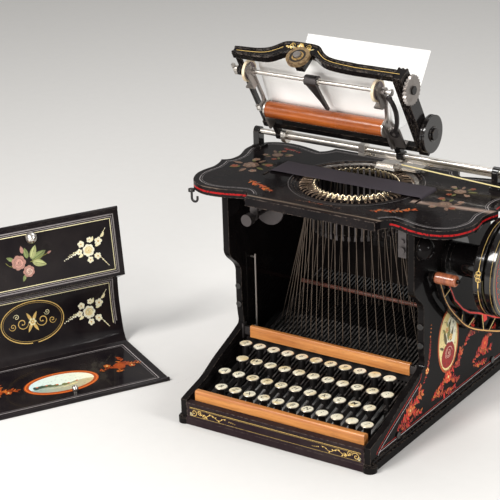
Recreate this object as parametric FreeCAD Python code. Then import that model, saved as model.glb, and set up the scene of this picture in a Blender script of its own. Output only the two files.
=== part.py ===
import FreeCAD, Part
import math
import os

os.makedirs("parts", exist_ok=True)
V = FreeCAD.Vector

# Base and side panels, mm. +X machine's right, +Y back, +Z up.
PANEL_X = 125.0
PANEL_T = 8.0
BASE_D = 335.0
WALL_H = 27.0
PLATE_TOP = 255.0
PLATE_T = 10.0
BACK_Y = 272.0
PLATE_BACK = 280.0
MOULDING = 2.5

# Keyboard
KEY_PITCH = 19.3
KEYS = 11
KEY_R = 7.6
KEY_H = 2.0
BARREL_R = 4.2
BARREL_CLEAR = 0.6
PRESS = 0.0318
ROWS = ((101.0, 65.0), (79.0, 56.2), (56.0, 47.4), (34.0, 38.5))
STAGGER = (-4.825, 4.825, -4.825, 4.825)
LEVER_SIDE = (-2.4125, -2.4125, 2.4125, 2.4125)
LEVER_T = 1.8
LEVER_H = 7.0
LEVER_Y0 = 34.0
LEVER_Z0 = 19.0
LEVER_SLOPE = 0.28
FULCRUM_Y = BASE_D - 17.0
FULCRUM_R = 2.0
RUN_GAP = 0.05

# Type basket
RING_Y = 187.0
OPEN_R = 63.0
RING_R = 59.0
WIRE_R = 0.5
WIRE_CIRCLE = 55.2
BAR_PIVOT_R = 50.7
BAR_PIVOT_Z = 252.0
BAR_LEN = 50.0
HANGER_R = 0.65
HANGER_GAP = 3.4
WORKING = 20

# Ribbon
RIBBON_Z = 257.15
RIBBON_T = 0.3
RIBBON_Y = (171.0, 208.0)
SLOT_L = -108.0
SLOT_R = 92.0

# Rail and carriage; d runs forward from the rail and n upward with the carriage down
RAIL_Y = 242.0
RAIL_Z = 276.0
RAIL_R = 3.5
LIFT = 59.0
PLATEN = (53.5, -8.0)
PLATEN_R = 10.0
PLATEN_X = (-131.0, 26.0)
FEED = (112.0, -4.0)
FEED_R = 2.5
FEED_WHEEL_R = 13.0
CENTRE_X = -57.5
CENTRE_R = 14.0
PAPER_T = 0.4

# Drum and crank
DRUM_X = (177.3, 201.3)
DRUM_Z = 187.2
DRUM_R = 55.0
CORD_R = 0.8
GROOVE_R = 46.7
CRANK_X = (131.0, 136.0)
CRANK_PIVOT = (FULCRUM_Y, 62.0)
GRIP = (123.0, 188.0)

# Detached front cover
COVER_AT = (-201.0, 82.8)
COVER_TURN = 60.0
COVER_W = 240.0
COVER_T = 2.0

INNER = PANEL_X - PANEL_T
PLATE_LOW = PLATE_TOP - PLATE_T
FULCRUM_Z = LEVER_Z0 + LEVER_SLOPE * (FULCRUM_Y - LEVER_Y0)


def box(x0, x1, y0, y1, z0, z1):
    return Part.makeBox(x1 - x0, y1 - y0, z1 - z0, V(x0, y0, z0))


def rod_x(x0, x1, y, z, r):
    return Part.makeCylinder(r, x1 - x0, V(x0, y, z), V(1, 0, 0))


def rod_y(y0, y1, x, z, r):
    return Part.makeCylinder(r, y1 - y0, V(x, y0, z), V(0, 1, 0))


def rod_z(z0, z1, x, y, r):
    return Part.makeCylinder(r, z1 - z0, V(x, y, z0), V(0, 0, 1))


def rod(a, b, r):
    way = b.sub(a)
    return Part.makeCylinder(r, way.Length, a, way)


def on_x(x):
    return lambda p: V(x, p[0], p[1])


def on_y(y):
    return lambda p: V(p[0], y, p[1])


def on_z(z):
    return lambda p: V(p[0], p[1], z)


def outline(spans, place):
    """Closed face from spans that share end points: two points a line, more a curve."""
    edges = []
    for span in spans:
        points = [place(p) for p in span]
        if len(points) == 2:
            edges.append(Part.makeLine(points[0], points[1]))
        else:
            curve = Part.BSplineCurve()
            curve.interpolate(points)
            edges.append(curve.toShape())
    return Part.Face(Part.Wire(edges))


def polygon(points, place):
    closed = [place(p) for p in points] + [place(points[0])]
    return Part.Face(Part.makePolygon(closed))


def prism_x(points, x0, x1):
    return polygon(points, on_x(x0)).extrude(V(x1 - x0, 0, 0))


def prism_y(points, y0, y1):
    return polygon(points, on_y(y0)).extrude(V(0, y1 - y0, 0))


def prism_z(points, z0, z1):
    return polygon(points, on_z(z0)).extrude(V(0, 0, z1 - z0))


def offset_sides(points, t):
    """The two sides of a strip of thickness t along a path."""
    left = []
    right = []
    for i in range(len(points)):
        ways = []
        for a, b in ((i - 1, i), (i, i + 1)):
            if a >= 0 and b < len(points):
                du = points[b][0] - points[a][0]
                dv = points[b][1] - points[a][1]
                size = math.hypot(du, dv)
                ways.append((du / size, dv / size))
        nu = -sum(w[1] for w in ways)
        nv = sum(w[0] for w in ways)
        size = math.hypot(nu, nv)
        nu = nu / size
        nv = nv / size
        half = 0.5 * t / (nv * ways[0][0] - nu * ways[0][1])
        left.append((points[i][0] + nu * half, points[i][1] + nv * half))
        right.append((points[i][0] - nu * half, points[i][1] - nv * half))
    return left, right[::-1]


def strip(points, t, place, way):
    """Bent flat strip with straight spans."""
    left, right = offset_sides(points, t)
    return polygon(left + right, place).extrude(way)


def smooth_strip(points, t, place, way):
    """Bent flat strip that follows a smooth curve."""
    left, right = offset_sides(points, t)
    spans = [left, [left[-1], right[0]], right, [right[-1], left[0]]]
    return outline(spans, place).extrude(way)


def fuse(shapes):
    whole = shapes[0]
    if len(shapes) > 1:
        whole = whole.fuse(shapes[1:])
    return whole.removeSplitter()


def mirror_x(shape):
    return shape.mirror(V(0, 0, 0), V(1, 0, 0))


def save(node, shape):
    shape.exportStep("parts/%s.step" % node)


def lowered(x0, x1, d0, d1, n0, n1):
    return box(x0, x1, RAIL_Y - d1, RAIL_Y - d0, RAIL_Z + n0, RAIL_Z + n1)


def spindle(x0, x1, at, r):
    return rod_x(x0, x1, RAIL_Y - at[0], RAIL_Z + at[1], r)


def flat_arm(points, n0, n1):
    """Plate in the carriage plane from points (x, d)."""
    face = polygon([(p[0], RAIL_Y - p[1]) for p in points], on_z(RAIL_Z + n0))
    return face.extrude(V(0, 0, n1 - n0))


def tilt(shape):
    copy = shape.copy()
    copy.rotate(V(0, RAIL_Y, RAIL_Z), V(1, 0, 0), -LIFT)
    return copy


# Side panels: one cast wall each, with a stepped base moulding and a front foot
def behind(share):
    """Depth of a point of the rear curve, from the plate's back edge to the base's."""
    return PLATE_BACK + share * (BASE_D - PLATE_BACK)


PROFILE = [
    [(0, 0), (0, 29)],
    [(0, 29), (20, 35), (42, 41.5), (62, 52), (85, 62), (104, 70), (117, 76)],
    [(117, 76), (121, 79), (122, 84)],
    [(122, 84), (119.6, 100), (119, 122), (119, 143)],
    [(119, 143), (117, 153), (110, 161), (101, 169), (97, 175), (96, 183)],
    [(96, 183), (96, PLATE_LOW)],
    [(96, PLATE_LOW), (PLATE_BACK, PLATE_LOW)],
    [(PLATE_BACK, PLATE_LOW), (PLATE_BACK, 152)],
    [(PLATE_BACK, 152), (behind(0.11), 138), (behind(0.4), 128), (behind(0.73), 122), (behind(0.94), 116),
     (BASE_D, 108)],
    [(BASE_D, 108), (BASE_D, 0)],
    [(BASE_D, 0), (0, 0)],
]


def side_wall():
    wall = outline(PROFILE, on_x(INNER)).extrude(V(PANEL_T, 0, 0))
    low = box(PANEL_X, PANEL_X + MOULDING, 4, BASE_D - 4, 0, 9)
    step = box(PANEL_X, PANEL_X + 1.2, 4, BASE_D - 4, 9, 13)
    foot = rod_z(0, 7, PANEL_X - 3, 4, 8)
    toe = rod_z(7, 9, PANEL_X - 3, 4, 6.5)
    trim = box(INNER - 9, INNER, -9, 20, -1, 12)
    return fuse([wall, low, step, foot.cut(trim), toe.cut(trim)])


left_wall = mirror_x(side_wall())
save("side_panel_left", left_wall)

stud = rod_x(PANEL_X, CRANK_X[1] + 2, CRANK_PIVOT[0], CRANK_PIVOT[1], 5)
shoulder = rod_x(PANEL_X, CRANK_X[0] - 0.1, CRANK_PIVOT[0], CRANK_PIVOT[1], 9)
dome = Part.makeSphere(13, V(PANEL_X + 1, 113, 223))
dome = dome.common(box(PANEL_X - 0.5, PANEL_X + 20, 90, 140, 200, 240))
right_wall = fuse([side_wall(), stud, shoulder, dome])
save("side_panel_right", right_wall)

# Base: front wall with a stepped moulding, rear wall and two cross ties
FRONT = [(8, 0), (-2, 0), (-2, 8), (0, 10), (0, 22), (-1.5, 24), (-1.5, WALL_H), (8, WALL_H)]
front_wall = prism_x(FRONT, -INNER, INNER)
rear_wall = box(-INNER, INNER, BASE_D - 8, BASE_D, 0, 92)
save("base_frame", Part.makeCompound([front_wall, rear_wall]))

ARCH = [(-112, 112), (-104, 134), (-88, 143), (-57, 147.5), (0, 149), (57, 147.5), (88, 143), (104, 134), (112, 112)]
sheet = box(-INNER, INNER, BACK_Y, BACK_Y + 1.5, 100, PLATE_LOW)
arch = smooth_strip(ARCH, 7, on_y(BACK_Y - 2), V(0, 2.2, 0))
save("back_panel", fuse([sheet, arch]))

# Top plate with lobed ends, stepped round opening and two ribbon slots
MID_Y = 181.0
LOBE = [
    [(84, 82), (87, 92), (95, 100)],
    [(95, 100), (108, 97), (122, 92.5), (135, 90.6), (147, 91), (158, 95), (168, 102),
     (175, 113), (179, 124), (180, 132), (179, 143), (176.5, 155)],
    [(176.5, 155), (178, 168), (182.5, MID_Y)],
    [(182.5, MID_Y), (175, 187), (172.5, 196)],
    [(172.5, 196), (175, 214), (179, 226), (180, 236), (178, 250), (170, 262), (158, 269),
     (145, 272), (122, 270), (95, 262)],
    [(95, 262), (87, 270), (84, PLATE_BACK)],
]
right_side = LOBE
left_side = [[(-p[0], p[1]) for p in span[::-1]] for span in LOBE[::-1]]
plate_spans = [[(-84, 82), (84, 82)]] + right_side + [[(84, PLATE_BACK), (-84, PLATE_BACK)]] + left_side
plate = outline(plate_spans, on_z(PLATE_LOW)).extrude(V(0, 0, PLATE_T))
plate = plate.cut(rod_z(PLATE_LOW - 1, PLATE_TOP + 1, 0, RING_Y, OPEN_R))
for r, depth in ((75.0, 0.8), (71.0, 1.8), (67.0, 3.0)):
    plate = plate.cut(rod_z(PLATE_TOP - depth, PLATE_TOP + 1, 0, RING_Y, r))
for x in (SLOT_L, SLOT_R):
    plate = plate.cut(box(x - 1.6, x + 1.6, 157, 211, PLATE_LOW - 1, PLATE_TOP + 1))
PULLEY = (182.5, RING_Y + GROOVE_R + CORD_R, 253.0)
notch = box(PULLEY[0] - 9, PULLEY[0] + 9, PULLEY[1] - 3.2, PULLEY[1] + 3.2, PLATE_LOW - 1, PLATE_TOP + 1)
plate = plate.cut(notch)
save("top_plate", plate)

# Type ring, hangers and bars; the first one is drawn at +X and turned into place
RING_LOW = 246.65
ring = rod_z(RING_LOW, PLATE_TOP - 0.8, 0, RING_Y, OPEN_R)
ring = ring.cut(rod_z(RING_LOW - 1, PLATE_TOP, 0, RING_Y, RING_R))
save("type_ring", ring)


def azimuths():
    """Angle of each place round the basket, in the order of the levers from left to right."""
    half = 2 * KEYS
    places = []
    for i in range(2 * half):
        share = math.pi * (i // 2 + 0.5) / half
        if i % 2 == 0:
            places.append(math.pi + share)
        else:
            places.append(math.pi - share)
    return places


PLACES = azimuths()


def at_place(shape, i):
    copy = shape.copy()
    copy.rotate(V(0, RING_Y, 0), V(0, 0, 1), math.degrees(PLACES[i]))
    return copy


def ring_point(r, t, z):
    return V(r, RING_Y + t, z)


def hanger():
    """Bent wire loop: two feet, two leaning legs and a round top."""
    half = HANGER_GAP / 2
    foot_z = RING_LOW - HANGER_R
    left = ring_point(48.9, -half, 254.6)
    right = ring_point(48.9, half, 254.6)
    bend_l = ring_point(54, -half, foot_z)
    bend_r = ring_point(54, half, foot_z)
    lean = left.sub(bend_l).normalize()
    peak = ring_point(48.9, 0, 254.6).add(lean.multiply(half))
    edges = [
        Part.makeLine(ring_point(60.5, -half, foot_z), bend_l),
        Part.makeLine(bend_l, left),
        Part.Arc(left, peak, right).toShape(),
        Part.makeLine(right, bend_r),
        Part.makeLine(bend_r, ring_point(60.5, half, foot_z)),
    ]
    path = Part.Wire(edges)
    circle = Part.makeCircle(HANGER_R, ring_point(60.5, -half, foot_z), V(1, 0, 0))
    return path.makePipeShell([Part.Wire([circle])], True, False, 2)


def typebar():
    """Bar hanging from its pivot, a tail for the pull wire and a type block at its foot."""
    r = BAR_PIVOT_R
    z = BAR_PIVOT_Z
    y = RING_Y
    bar = box(r - 1.2, r + 1.2, y - 0.9, y + 0.9, z - BAR_LEN, z + 1.4)
    tail = box(r, WIRE_CIRCLE + 0.9, y - 0.8, y + 0.8, z - 0.9, z + 1.0)
    pin = rod_y(y - 1.0, y + 1.0, r, z, 1.4)
    head = box(r - 4.4, r + 1.2, y - 1.5, y + 1.5, z - BAR_LEN, z - BAR_LEN + 5)
    return fuse([bar, tail, pin, head])


one_hanger = hanger()
one_bar = typebar()
COUNT = 4 * KEYS
save("type_hangers", Part.makeCompound([at_place(one_hanger, i) for i in range(COUNT)]))
save("typebars", Part.makeCompound([at_place(one_bar, i) for i in range(COUNT) if i != WORKING]))
save("working_typebar", at_place(one_bar, WORKING))


# Key levers on one shaft, and the wires that stand on them
def lever_z(y):
    return LEVER_Z0 + LEVER_SLOPE * (y - LEVER_Y0)


def lever_strip(x, y0, height):
    half = height / 2
    pts = [(y0, lever_z(y0) - half), (FULCRUM_Y, FULCRUM_Z - half)]
    pts = pts + [(FULCRUM_Y, FULCRUM_Z + half), (y0, lever_z(y0) + half)]
    bar = prism_x(pts, x - LEVER_T / 2, x + LEVER_T / 2)
    eye = rod_x(x - LEVER_T / 2, x + LEVER_T / 2, FULCRUM_Y, FULCRUM_Z, FULCRUM_R + 3.5)
    return [bar, eye]


def key_solid(row, k):
    y, z = ROWS[row]
    x = STAGGER[row] + (k - (KEYS - 1) / 2) * KEY_PITCH
    lx = x + LEVER_SIDE[row]
    top = lever_z(y) + LEVER_H / 2
    pieces = lever_strip(lx, y - 3, LEVER_H)
    side = math.copysign(1.0, lx - x)
    a = x - side * 1.3
    b = lx + side * LEVER_T / 2
    pieces.append(box(min(a, b), max(a, b), y - 2.6, y + 2.6, top - 0.8, top + 2.2))
    pieces.append(box(x - 1.3, x + 1.3, y - 0.7, y + 0.7, top, z - KEY_H))
    low = top + 2.2
    if row < 3:
        low = top + PRESS * (FULCRUM_Y - y) + LEVER_SLOPE * BARREL_R + BARREL_CLEAR
    pieces.append(Part.makeCylinder(BARREL_R, z - KEY_H - low, V(x, y, low)))
    disc = Part.makeCylinder(KEY_R, KEY_H, V(x, y, z - KEY_H))
    rim = [e for e in disc.Edges if len(e.Vertexes) == 1]
    disc = disc.makeChamfer(0.6, rim)
    pieces.append(disc)
    solid = fuse(pieces)
    return solid.cut(rod_x(lx - 3, lx + 3, FULCRUM_Y, FULCRUM_Z, FULCRUM_R + RUN_GAP))


KEY_LIST = []
for row in range(4):
    for k in range(KEYS):
        key_x = STAGGER[row] + (k - (KEYS - 1) / 2) * KEY_PITCH
        KEY_LIST.append((key_x + LEVER_SIDE[row], row, k))
KEY_LIST.sort()


def wire_solid(i):
    """Straight wire from just above its lever to just under its typebar's tail."""
    x0 = KEY_LIST[i][0]
    x1 = WIRE_CIRCLE * math.cos(PLACES[i])
    y = RING_Y + WIRE_CIRCLE * math.sin(PLACES[i])
    low = lever_z(y) + LEVER_H / 2 + 0.5
    return rod(V(x0, y, low), V(x1, y, BAR_PIVOT_Z - 1.5), WIRE_R)


row_keys = {0: [], 1: [], 2: [], 3: []}
row_wires = {0: [], 1: [], 2: [], 3: []}
for i, (lever_x, row, k) in enumerate(KEY_LIST):
    if i == WORKING:
        save("working_key", key_solid(row, k))
        save("working_wire", wire_solid(i))
    else:
        row_keys[row].append(key_solid(row, k))
        row_wires[row].append(wire_solid(i))
for row in range(4):
    save("keys_row_%d" % (row + 1), Part.makeCompound(row_keys[row]))
    save("pull_wires_%d" % (row + 1), Part.makeCompound(row_wires[row]))

save("lever_fulcrum", rod_x(-INNER, INNER, FULCRUM_Y, FULCRUM_Z, FULCRUM_R))

# Space bar on two long arms that share the levers' shaft
ARM_X = 110.4
BAR_Y = 14.0
arm = lever_strip(ARM_X, BAR_Y - 2, LEVER_H)
post = box(ARM_X - 0.9, ARM_X + 0.9, BAR_Y - 2, BAR_Y + 2, lever_z(BAR_Y), 25)
eye_hole = rod_x(ARM_X - 3, ARM_X + 3, FULCRUM_Y, FULCRUM_Z, FULCRUM_R + RUN_GAP)
right_arm = fuse(arm + [post]).cut(eye_hole)
tie = box(-ARM_X - 0.9, ARM_X + 0.9, BAR_Y - 2, BAR_Y + 2, 23.4, 25)
save("space_bar_arms", fuse([right_arm, mirror_x(right_arm), tie]))
blank = box(-112, 111.5, BAR_Y - 4.2, BAR_Y + 4.2, 25, 38)
long_edges = [e for e in blank.Edges if abs(e.Length - 223.5) < 0.01 and e.CenterOfMass.z > 30]
save("space_bar", blank.makeFillet(2.5, long_edges))

# Guide comb, stop rod, letter board and rods at the sides
comb = box(-INNER, INNER, 126, 128, 25, 62)
slots = []
for lever_x in [item[0] for item in KEY_LIST] + [-ARM_X, ARM_X]:
    slots.append(box(lever_x - 1.25, lever_x + 1.25, 125, 129, 31, 52))
save("guide_comb", comb.cut(Part.makeCompound(slots)))
save("cross_rod", rod_x(-INNER, INNER, 252, lever_z(252) + LEVER_H / 2 + 4, 2.5))

board = box(-107, 107, 119, 125, 64, 78)
front_edge = [e for e in board.Edges if abs(e.Length - 214) < 0.01 and e.CenterOfMass.z > 70]
save("letter_board", board.makeFillet(1.5, front_edge))
clip = fuse([box(107, INNER, 120, 124, 66, 76), box(INNER - 2, INNER, 117, 125, 62, 80)])
save("board_clips", Part.makeCompound([clip, mirror_x(clip)]))

guard = fuse([
    rod_z(66, 162, INNER - 6, 140, 1.2),
    rod_x(INNER - 6, INNER, 140, 70, 1.2),
    rod_x(INNER - 6, INNER, 140, 158, 1.2),
])
save("guard_rods", Part.makeCompound([guard, mirror_x(guard)]))

screws = []
for y, z in ((119, 127), (119.5, 104)):
    screws.append(rod_y(y - 2, y + 1, PANEL_X - 4, z, 3.6).cut(right_wall))
for y in (60, BASE_D - 45):
    screws.append(rod_x(PANEL_X, PANEL_X + 1.5, y, 20, 4))
screws = screws + [mirror_x(s) for s in screws]
save("frame_screws", Part.makeCompound(screws))

# Ribbon with its two spools under the plate
SPOOL_L = (-87.0, 224.5, 20.0, 15.5, 135.0, 212.0)
SPOOL_R = (100.0, 200.0, 15.0, 8.0, 156.5, 212.0)
AXLE_R = 2.5


def spool(data, front, knob):
    x, z, flange, coil, y0, y1 = data
    pieces = [rod_y(front, y1 + 8, x, z, AXLE_R)]
    pieces.append(rod_y(y0, y0 + 3, x, z, flange))
    pieces.append(rod_y(y1 - 3, y1, x, z, flange))
    pieces.append(rod_y(y0 + 3, y1 - 3, x, z, coil))
    if knob:
        pieces.append(rod_y(front - 9, front, x, z, 7))
        pieces.append(rod_y(front, front + 3, x, z, 5))
    return fuse(pieces)


save("ribbon_spool_left", spool(SPOOL_L, 97, True))
save("ribbon_spool_right", spool(SPOOL_R, 150, False))

ribbon_path = [
    (SLOT_L + 5.0, SPOOL_L[1]), (SLOT_L, PLATE_LOW), (SLOT_L, RIBBON_Z - 1.6), (SLOT_L + 1.6, RIBBON_Z),
    (SLOT_R - 1.6, RIBBON_Z), (SLOT_R, RIBBON_Z - 1.6), (SLOT_R - 0.4, SPOOL_R[1]),
]
ribbon_way = V(0, RIBBON_Y[1] - RIBBON_Y[0], 0)
save("ribbon", strip(ribbon_path, RIBBON_T, on_y(RIBBON_Y[0]), ribbon_way))


def strap(x, z, y, half):
    """Flat strap hanging from the plate with a running bore."""
    pieces = [box(x - half, x + half, y, y + 3, z, PLATE_LOW), rod_y(y, y + 3, x, z, half)]
    return fuse(pieces).cut(rod_y(y - 1, y + 4, x, z, AXLE_R + RUN_GAP))


plain = fuse([box(104, 114, 98, 101, 214, PLATE_LOW), rod_y(95.5, 98, 109, 223, 4), rod_y(96, 98, 109, 233, 3)])
save("spool_bearings", Part.makeCompound([
    strap(SPOOL_L[0], SPOOL_L[1], 104, 5), strap(SPOOL_L[0], SPOOL_L[1], 215, 5),
    strap(SPOOL_R[0], SPOOL_R[1], 153, 5), strap(SPOOL_R[0], SPOOL_R[1], 215, 5), plain,
]))

hook_path = Part.Wire([
    Part.makeLine(V(-170, 100, PLATE_LOW), V(-170, 100, 234)),
    Part.Arc(V(-170, 100, 234), V(-166, 100, 230), V(-162, 100, 234)).toShape(),
    Part.makeLine(V(-162, 100, 234), V(-162, 100, 237)),
])
hook_ring = Part.Wire([Part.makeCircle(1.4, V(-170, 100, PLATE_LOW), V(0, 0, 1))])
hook_stem = hook_path.makePipeShell([hook_ring], True, False, 2)
save("plate_hook", fuse([hook_stem, rod_z(PLATE_LOW - 3, PLATE_LOW, -170, 100, 4)]))


# Rail behind the ring, and its two posts
def rail_post(x0, x1):
    body = box(x0, x1, RAIL_Y - 6, RAIL_Y + 5.5, PLATE_TOP, RAIL_Z)
    head = rod_x(x0, x1, RAIL_Y, RAIL_Z, 5.5)
    foot = box(x0 - 2.5, x1 + 2.5, RAIL_Y - 6, RAIL_Y + 10, PLATE_TOP, PLATE_TOP + 3)
    return fuse([body, head, foot]).cut(rod_x(x0 - 1, x1 + 1, RAIL_Y, RAIL_Z, RAIL_R))


save("rail_posts", Part.makeCompound([rail_post(-173, -165), rail_post(146, 154)]))
save("rear_rail", rod_x(-174.5, 155.5, RAIL_Y, RAIL_Z, RAIL_R))
BRACKET = [(-2, 232), (24, 232), (30, 239), (48, 239), (52, 243), (52, 264), (-2, 264)]
bracket = prism_z(BRACKET, 258.6, 261.6)
bracket_foot = box(-2, 52, 253, 264, PLATE_TOP, 258.6)
bracket_lip = prism_z([(-2, 236), (20, 236), (27, 243), (27, 246), (18, 240), (-2, 240)], 261.6, 264.6)
save("feed_bracket", fuse([bracket, bracket_foot, bracket_lip]))

# Slide: sleeve on the rail, and the perforated bar behind it with the cord's eye
bore = rod_x(-200, 200, RAIL_Y, RAIL_Z, RAIL_R + RUN_GAP)
sleeve = fuse([rod_x(-132, -18, RAIL_Y, RAIL_Z, 5), rod_x(-132, -126, RAIL_Y, RAIL_Z, 9)])
save("carriage_sleeve", sleeve.cut(bore))

BAR_Y0 = RAIL_Y + 6.0
BAR_Y1 = BAR_Y0 + 2.5
EYE_X = 30.0
CORD_Y = PULLEY[1]
clamp = box(-26, -18, RAIL_Y - 6.5, BAR_Y0, RAIL_Z - 7, RAIL_Z + 7)
rack = fuse([
    box(-26, 168, BAR_Y0, BAR_Y1, RAIL_Z - 10, RAIL_Z), clamp,
    box(EYE_X - 2, EYE_X + 2, CORD_Y + CORD_R + 0.1, BAR_Y0, RAIL_Z - 10, RAIL_Z - 7.5),
])
holes = [rod_x(-30, -10, RAIL_Y, RAIL_Z, 5)]
for i in range(4):
    holes.append(rod_y(BAR_Y0 - 1, BAR_Y1 + 1, 106 + 10.5 * i, RAIL_Z - 5, 1.25))
save("rack_bar", rack.cut(Part.makeCompound(holes)))

# Carriage frame, built lowered and then tilted about the rail
ARM_L = (-152.0, -148.0)
ARM_R = (60.0, 72.0)
STRAP_AT = (42.5, 4.0)
RATCHET_AT = (118.6, -1.5)
STRAP_X = (ARM_R[1] + 0.4, ARM_R[1] + 8.0)
RATCHET_X = (ARM_R[1] + 1.0, ARM_R[1] + 5.0)
CREST = [
    (-152, 5), (-134, 6), (-118, 7.5), (-107, 11), (-99, 17), (-93, 22), (-86, 24), (-70, 24.6), (-54, 24),
    (-47, 22), (-41, 17), (-33, 11), (-22, 7.5), (-6, 6), (10, 5),
]
HOLLOW = [
    (10, -6), (-4, -5.5), (-18, -4.3), (-28, -2.5), (-35, 0), (-42, 4), (-49, 7.5), (-57, 8.6), (-70, 8.8),
    (-80, 7.6), (-88, 5), (-95, 0), (-102, -4), (-112, -5.8), (-134, -6), (-152, -6),
]
RAIL_END = [(10, 5), (10, -6)]
FRONT_D = 141.0
RAIL_D = 8.0
BEAD = 1.4


def on_front(n_shift):
    """Point (x, n) on the front face of the rail, moved along n."""
    return lambda p: V(p[0], RAIL_Y - FRONT_D, RAIL_Z + p[1] + n_shift)


band = outline([CREST, RAIL_END, HOLLOW, [HOLLOW[-1], CREST[0]]], on_front(0)).extrude(V(0, RAIL_D, 0))
beads = []
for edge, shift in ((CREST, -1.8), (HOLLOW[::-1], 1.8)):
    far = (ARM_R[0], edge[-1][1])
    bead = smooth_strip(edge, 2.4, on_front(shift), V(0, -BEAD, 0))
    beads.append(bead)
    beads.append(strip([(edge[-1][0] - 0.2, edge[-1][1]), far], 2.4, on_front(shift), V(0, -BEAD, 0)))


def arm_rib(x, t):
    """Rib along the right arm's two long faces."""
    return lowered(x, x + t, 25, FRONT_D, -9.2, 9.2)


frame_parts = beads + [
    band,
    arm_rib(ARM_R[0], 2.2),
    arm_rib((ARM_R[0] + ARM_R[1]) / 2 - 1.1, 2.2),
    arm_rib(ARM_R[1] - 2.2, 2.2),
    lowered(ARM_L[0], ARM_L[1], 17, 141, -3, 3),
    lowered(ARM_R[0], ARM_R[1], 17, 141, -8, 8),
    lowered(10, ARM_R[1], 133, 141, -6, 5),
    lowered(ARM_L[0], ARM_R[1], 17, 25, -5, 3),
    lowered(CENTRE_X - 5.5, CENTRE_X + 5.5, 134, 141, -12, 10),
    lowered(-141, -135, 0, 17, -4, 3),
    lowered(24, 32, 0, 17, -4, 3),
    spindle(-141, -135, (0, 0), 6),
    spindle(24, 32, (0, 0), 6),
    spindle(ARM_L[0], ARM_L[1], FEED, 6.5),
    spindle(ARM_R[1], ARM_R[1] + 9, STRAP_AT, 4),
    spindle(ARM_R[1] + 8.2, ARM_R[1] + 10, STRAP_AT, 7),
    spindle(ARM_R[1], ARM_R[1] + 6, RATCHET_AT, 3),
    spindle(ARM_R[1] + 5.2, ARM_R[1] + 7, RATCHET_AT, 5),
]
frame_body = fuse(frame_parts)
pin_hole = rod_y(RAIL_Y - 160, RAIL_Y - 134, CENTRE_X, RAIL_Z - 7, 2.5)
feed_hole = spindle(ARM_L[0] - 1, ARM_L[1] + 1, FEED, FEED_R + RUN_GAP)
frame_body = frame_body.cut(Part.makeCompound([bore, pin_hole, feed_hole]))
save("carriage_frame", tilt(frame_body))

pin = fuse([
    rod_y(RAIL_Y - 157, RAIL_Y - 134, CENTRE_X, RAIL_Z - 7, 2.5),
    rod_y(RAIL_Y - 157, RAIL_Y - 155.2, CENTRE_X, RAIL_Z - 7, 4.5),
])
save("centre_wheel_pin", tilt(pin))
wheel = fuse([
    rod_y(RAIL_Y - 155, RAIL_Y - 146, CENTRE_X, RAIL_Z - 7, 6),
    rod_y(RAIL_Y - 154, RAIL_Y - 149.5, CENTRE_X, RAIL_Z - 7, CENTRE_R),
    rod_y(RAIL_Y - 149.5, RAIL_Y - 148.3, CENTRE_X, RAIL_Z - 7, CENTRE_R - 3),
])
wheel_bore = rod_y(RAIL_Y - 160, RAIL_Y - 140, CENTRE_X, RAIL_Z - 7, 2.5 + RUN_GAP)
save("centre_wheel", tilt(wheel.cut(wheel_bore)))

# Platen, its ends, and the steel cheeks that carry it
save("platen", tilt(spindle(PLATEN_X[0], PLATEN_X[1], PLATEN, PLATEN_R).cut(
    spindle(PLATEN_X[0] - 1, PLATEN_X[1] + 1, PLATEN, 2))))
knob_wing = lowered(-147.5, -145, PLATEN[0] - 4, PLATEN[0] + 4, PLATEN[1] - 1.5, PLATEN[1] + 1.5)
ends = fuse([
    spindle(-147, 32.5, PLATEN, 2),
    spindle(PLATEN_X[0] - 2, PLATEN_X[0], PLATEN, PLATEN_R + 0.5),
    spindle(PLATEN_X[1], PLATEN_X[1] + 1.5, PLATEN, PLATEN_R + 0.5),
    spindle(-143.5, -139.5, PLATEN, 4), knob_wing,
])
save("platen_ends", tilt(ends))

cheek_r = lowered(28, 31, 25, 66, -14, -2)
cheek_l = lowered(-137, -134, 25, 66, -14, -2)
link_r = flat_arm([(28, 60), (31, 60), (42, 106), (42, 110), (38, 110), (38, 106)], -7, -4)
link_l = flat_arm([(-137, 62), (-134, 62), (-131.8, 72), (-131.8, 110), (-135.2, 110), (-135.2, 74)], -7, -4)
tongue = flat_arm([(31.5, 25), (45, 25), (44.5, 54), (41, 57), (36, 57), (33, 50)], -9.5, -6.5)
PAWL_AT = (38.7, 50.5)
pawl_pin = rod_z(RAIL_Z - 13.2, RAIL_Z - 6.5, PAWL_AT[0], RAIL_Y - PAWL_AT[1], 2)
tongue_foot = lowered(31.5, 45, 25, 28, -9.5, 0)
bores = Part.makeCompound([
    spindle(-140, 34, PLATEN, 2 + RUN_GAP), spindle(-140, 45, FEED, FEED_R + RUN_GAP),
])
guard_l = [lowered(-134.8, -132.6, 96, 126, -15, -4), lowered(-144, -132.6, 93.6, 96, -15, -4)]
guard_r = [lowered(36.4, 38.4, 96, 126, -15, -4), lowered(27, 38.4, 93.6, 96, -15, -4)]
left_cheek = fuse([cheek_l, link_l, spindle(-135.2, -131.8, FEED, 5)] + guard_l).cut(bores)
right_cheek = fuse([cheek_r, link_r, spindle(38, 42, FEED, 5)] + guard_r).cut(bores)
pawl_bed = fuse([tongue, tongue_foot, pawl_pin])
save("platen_brackets", tilt(Part.makeCompound([left_cheek, right_cheek, pawl_bed])))

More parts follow.
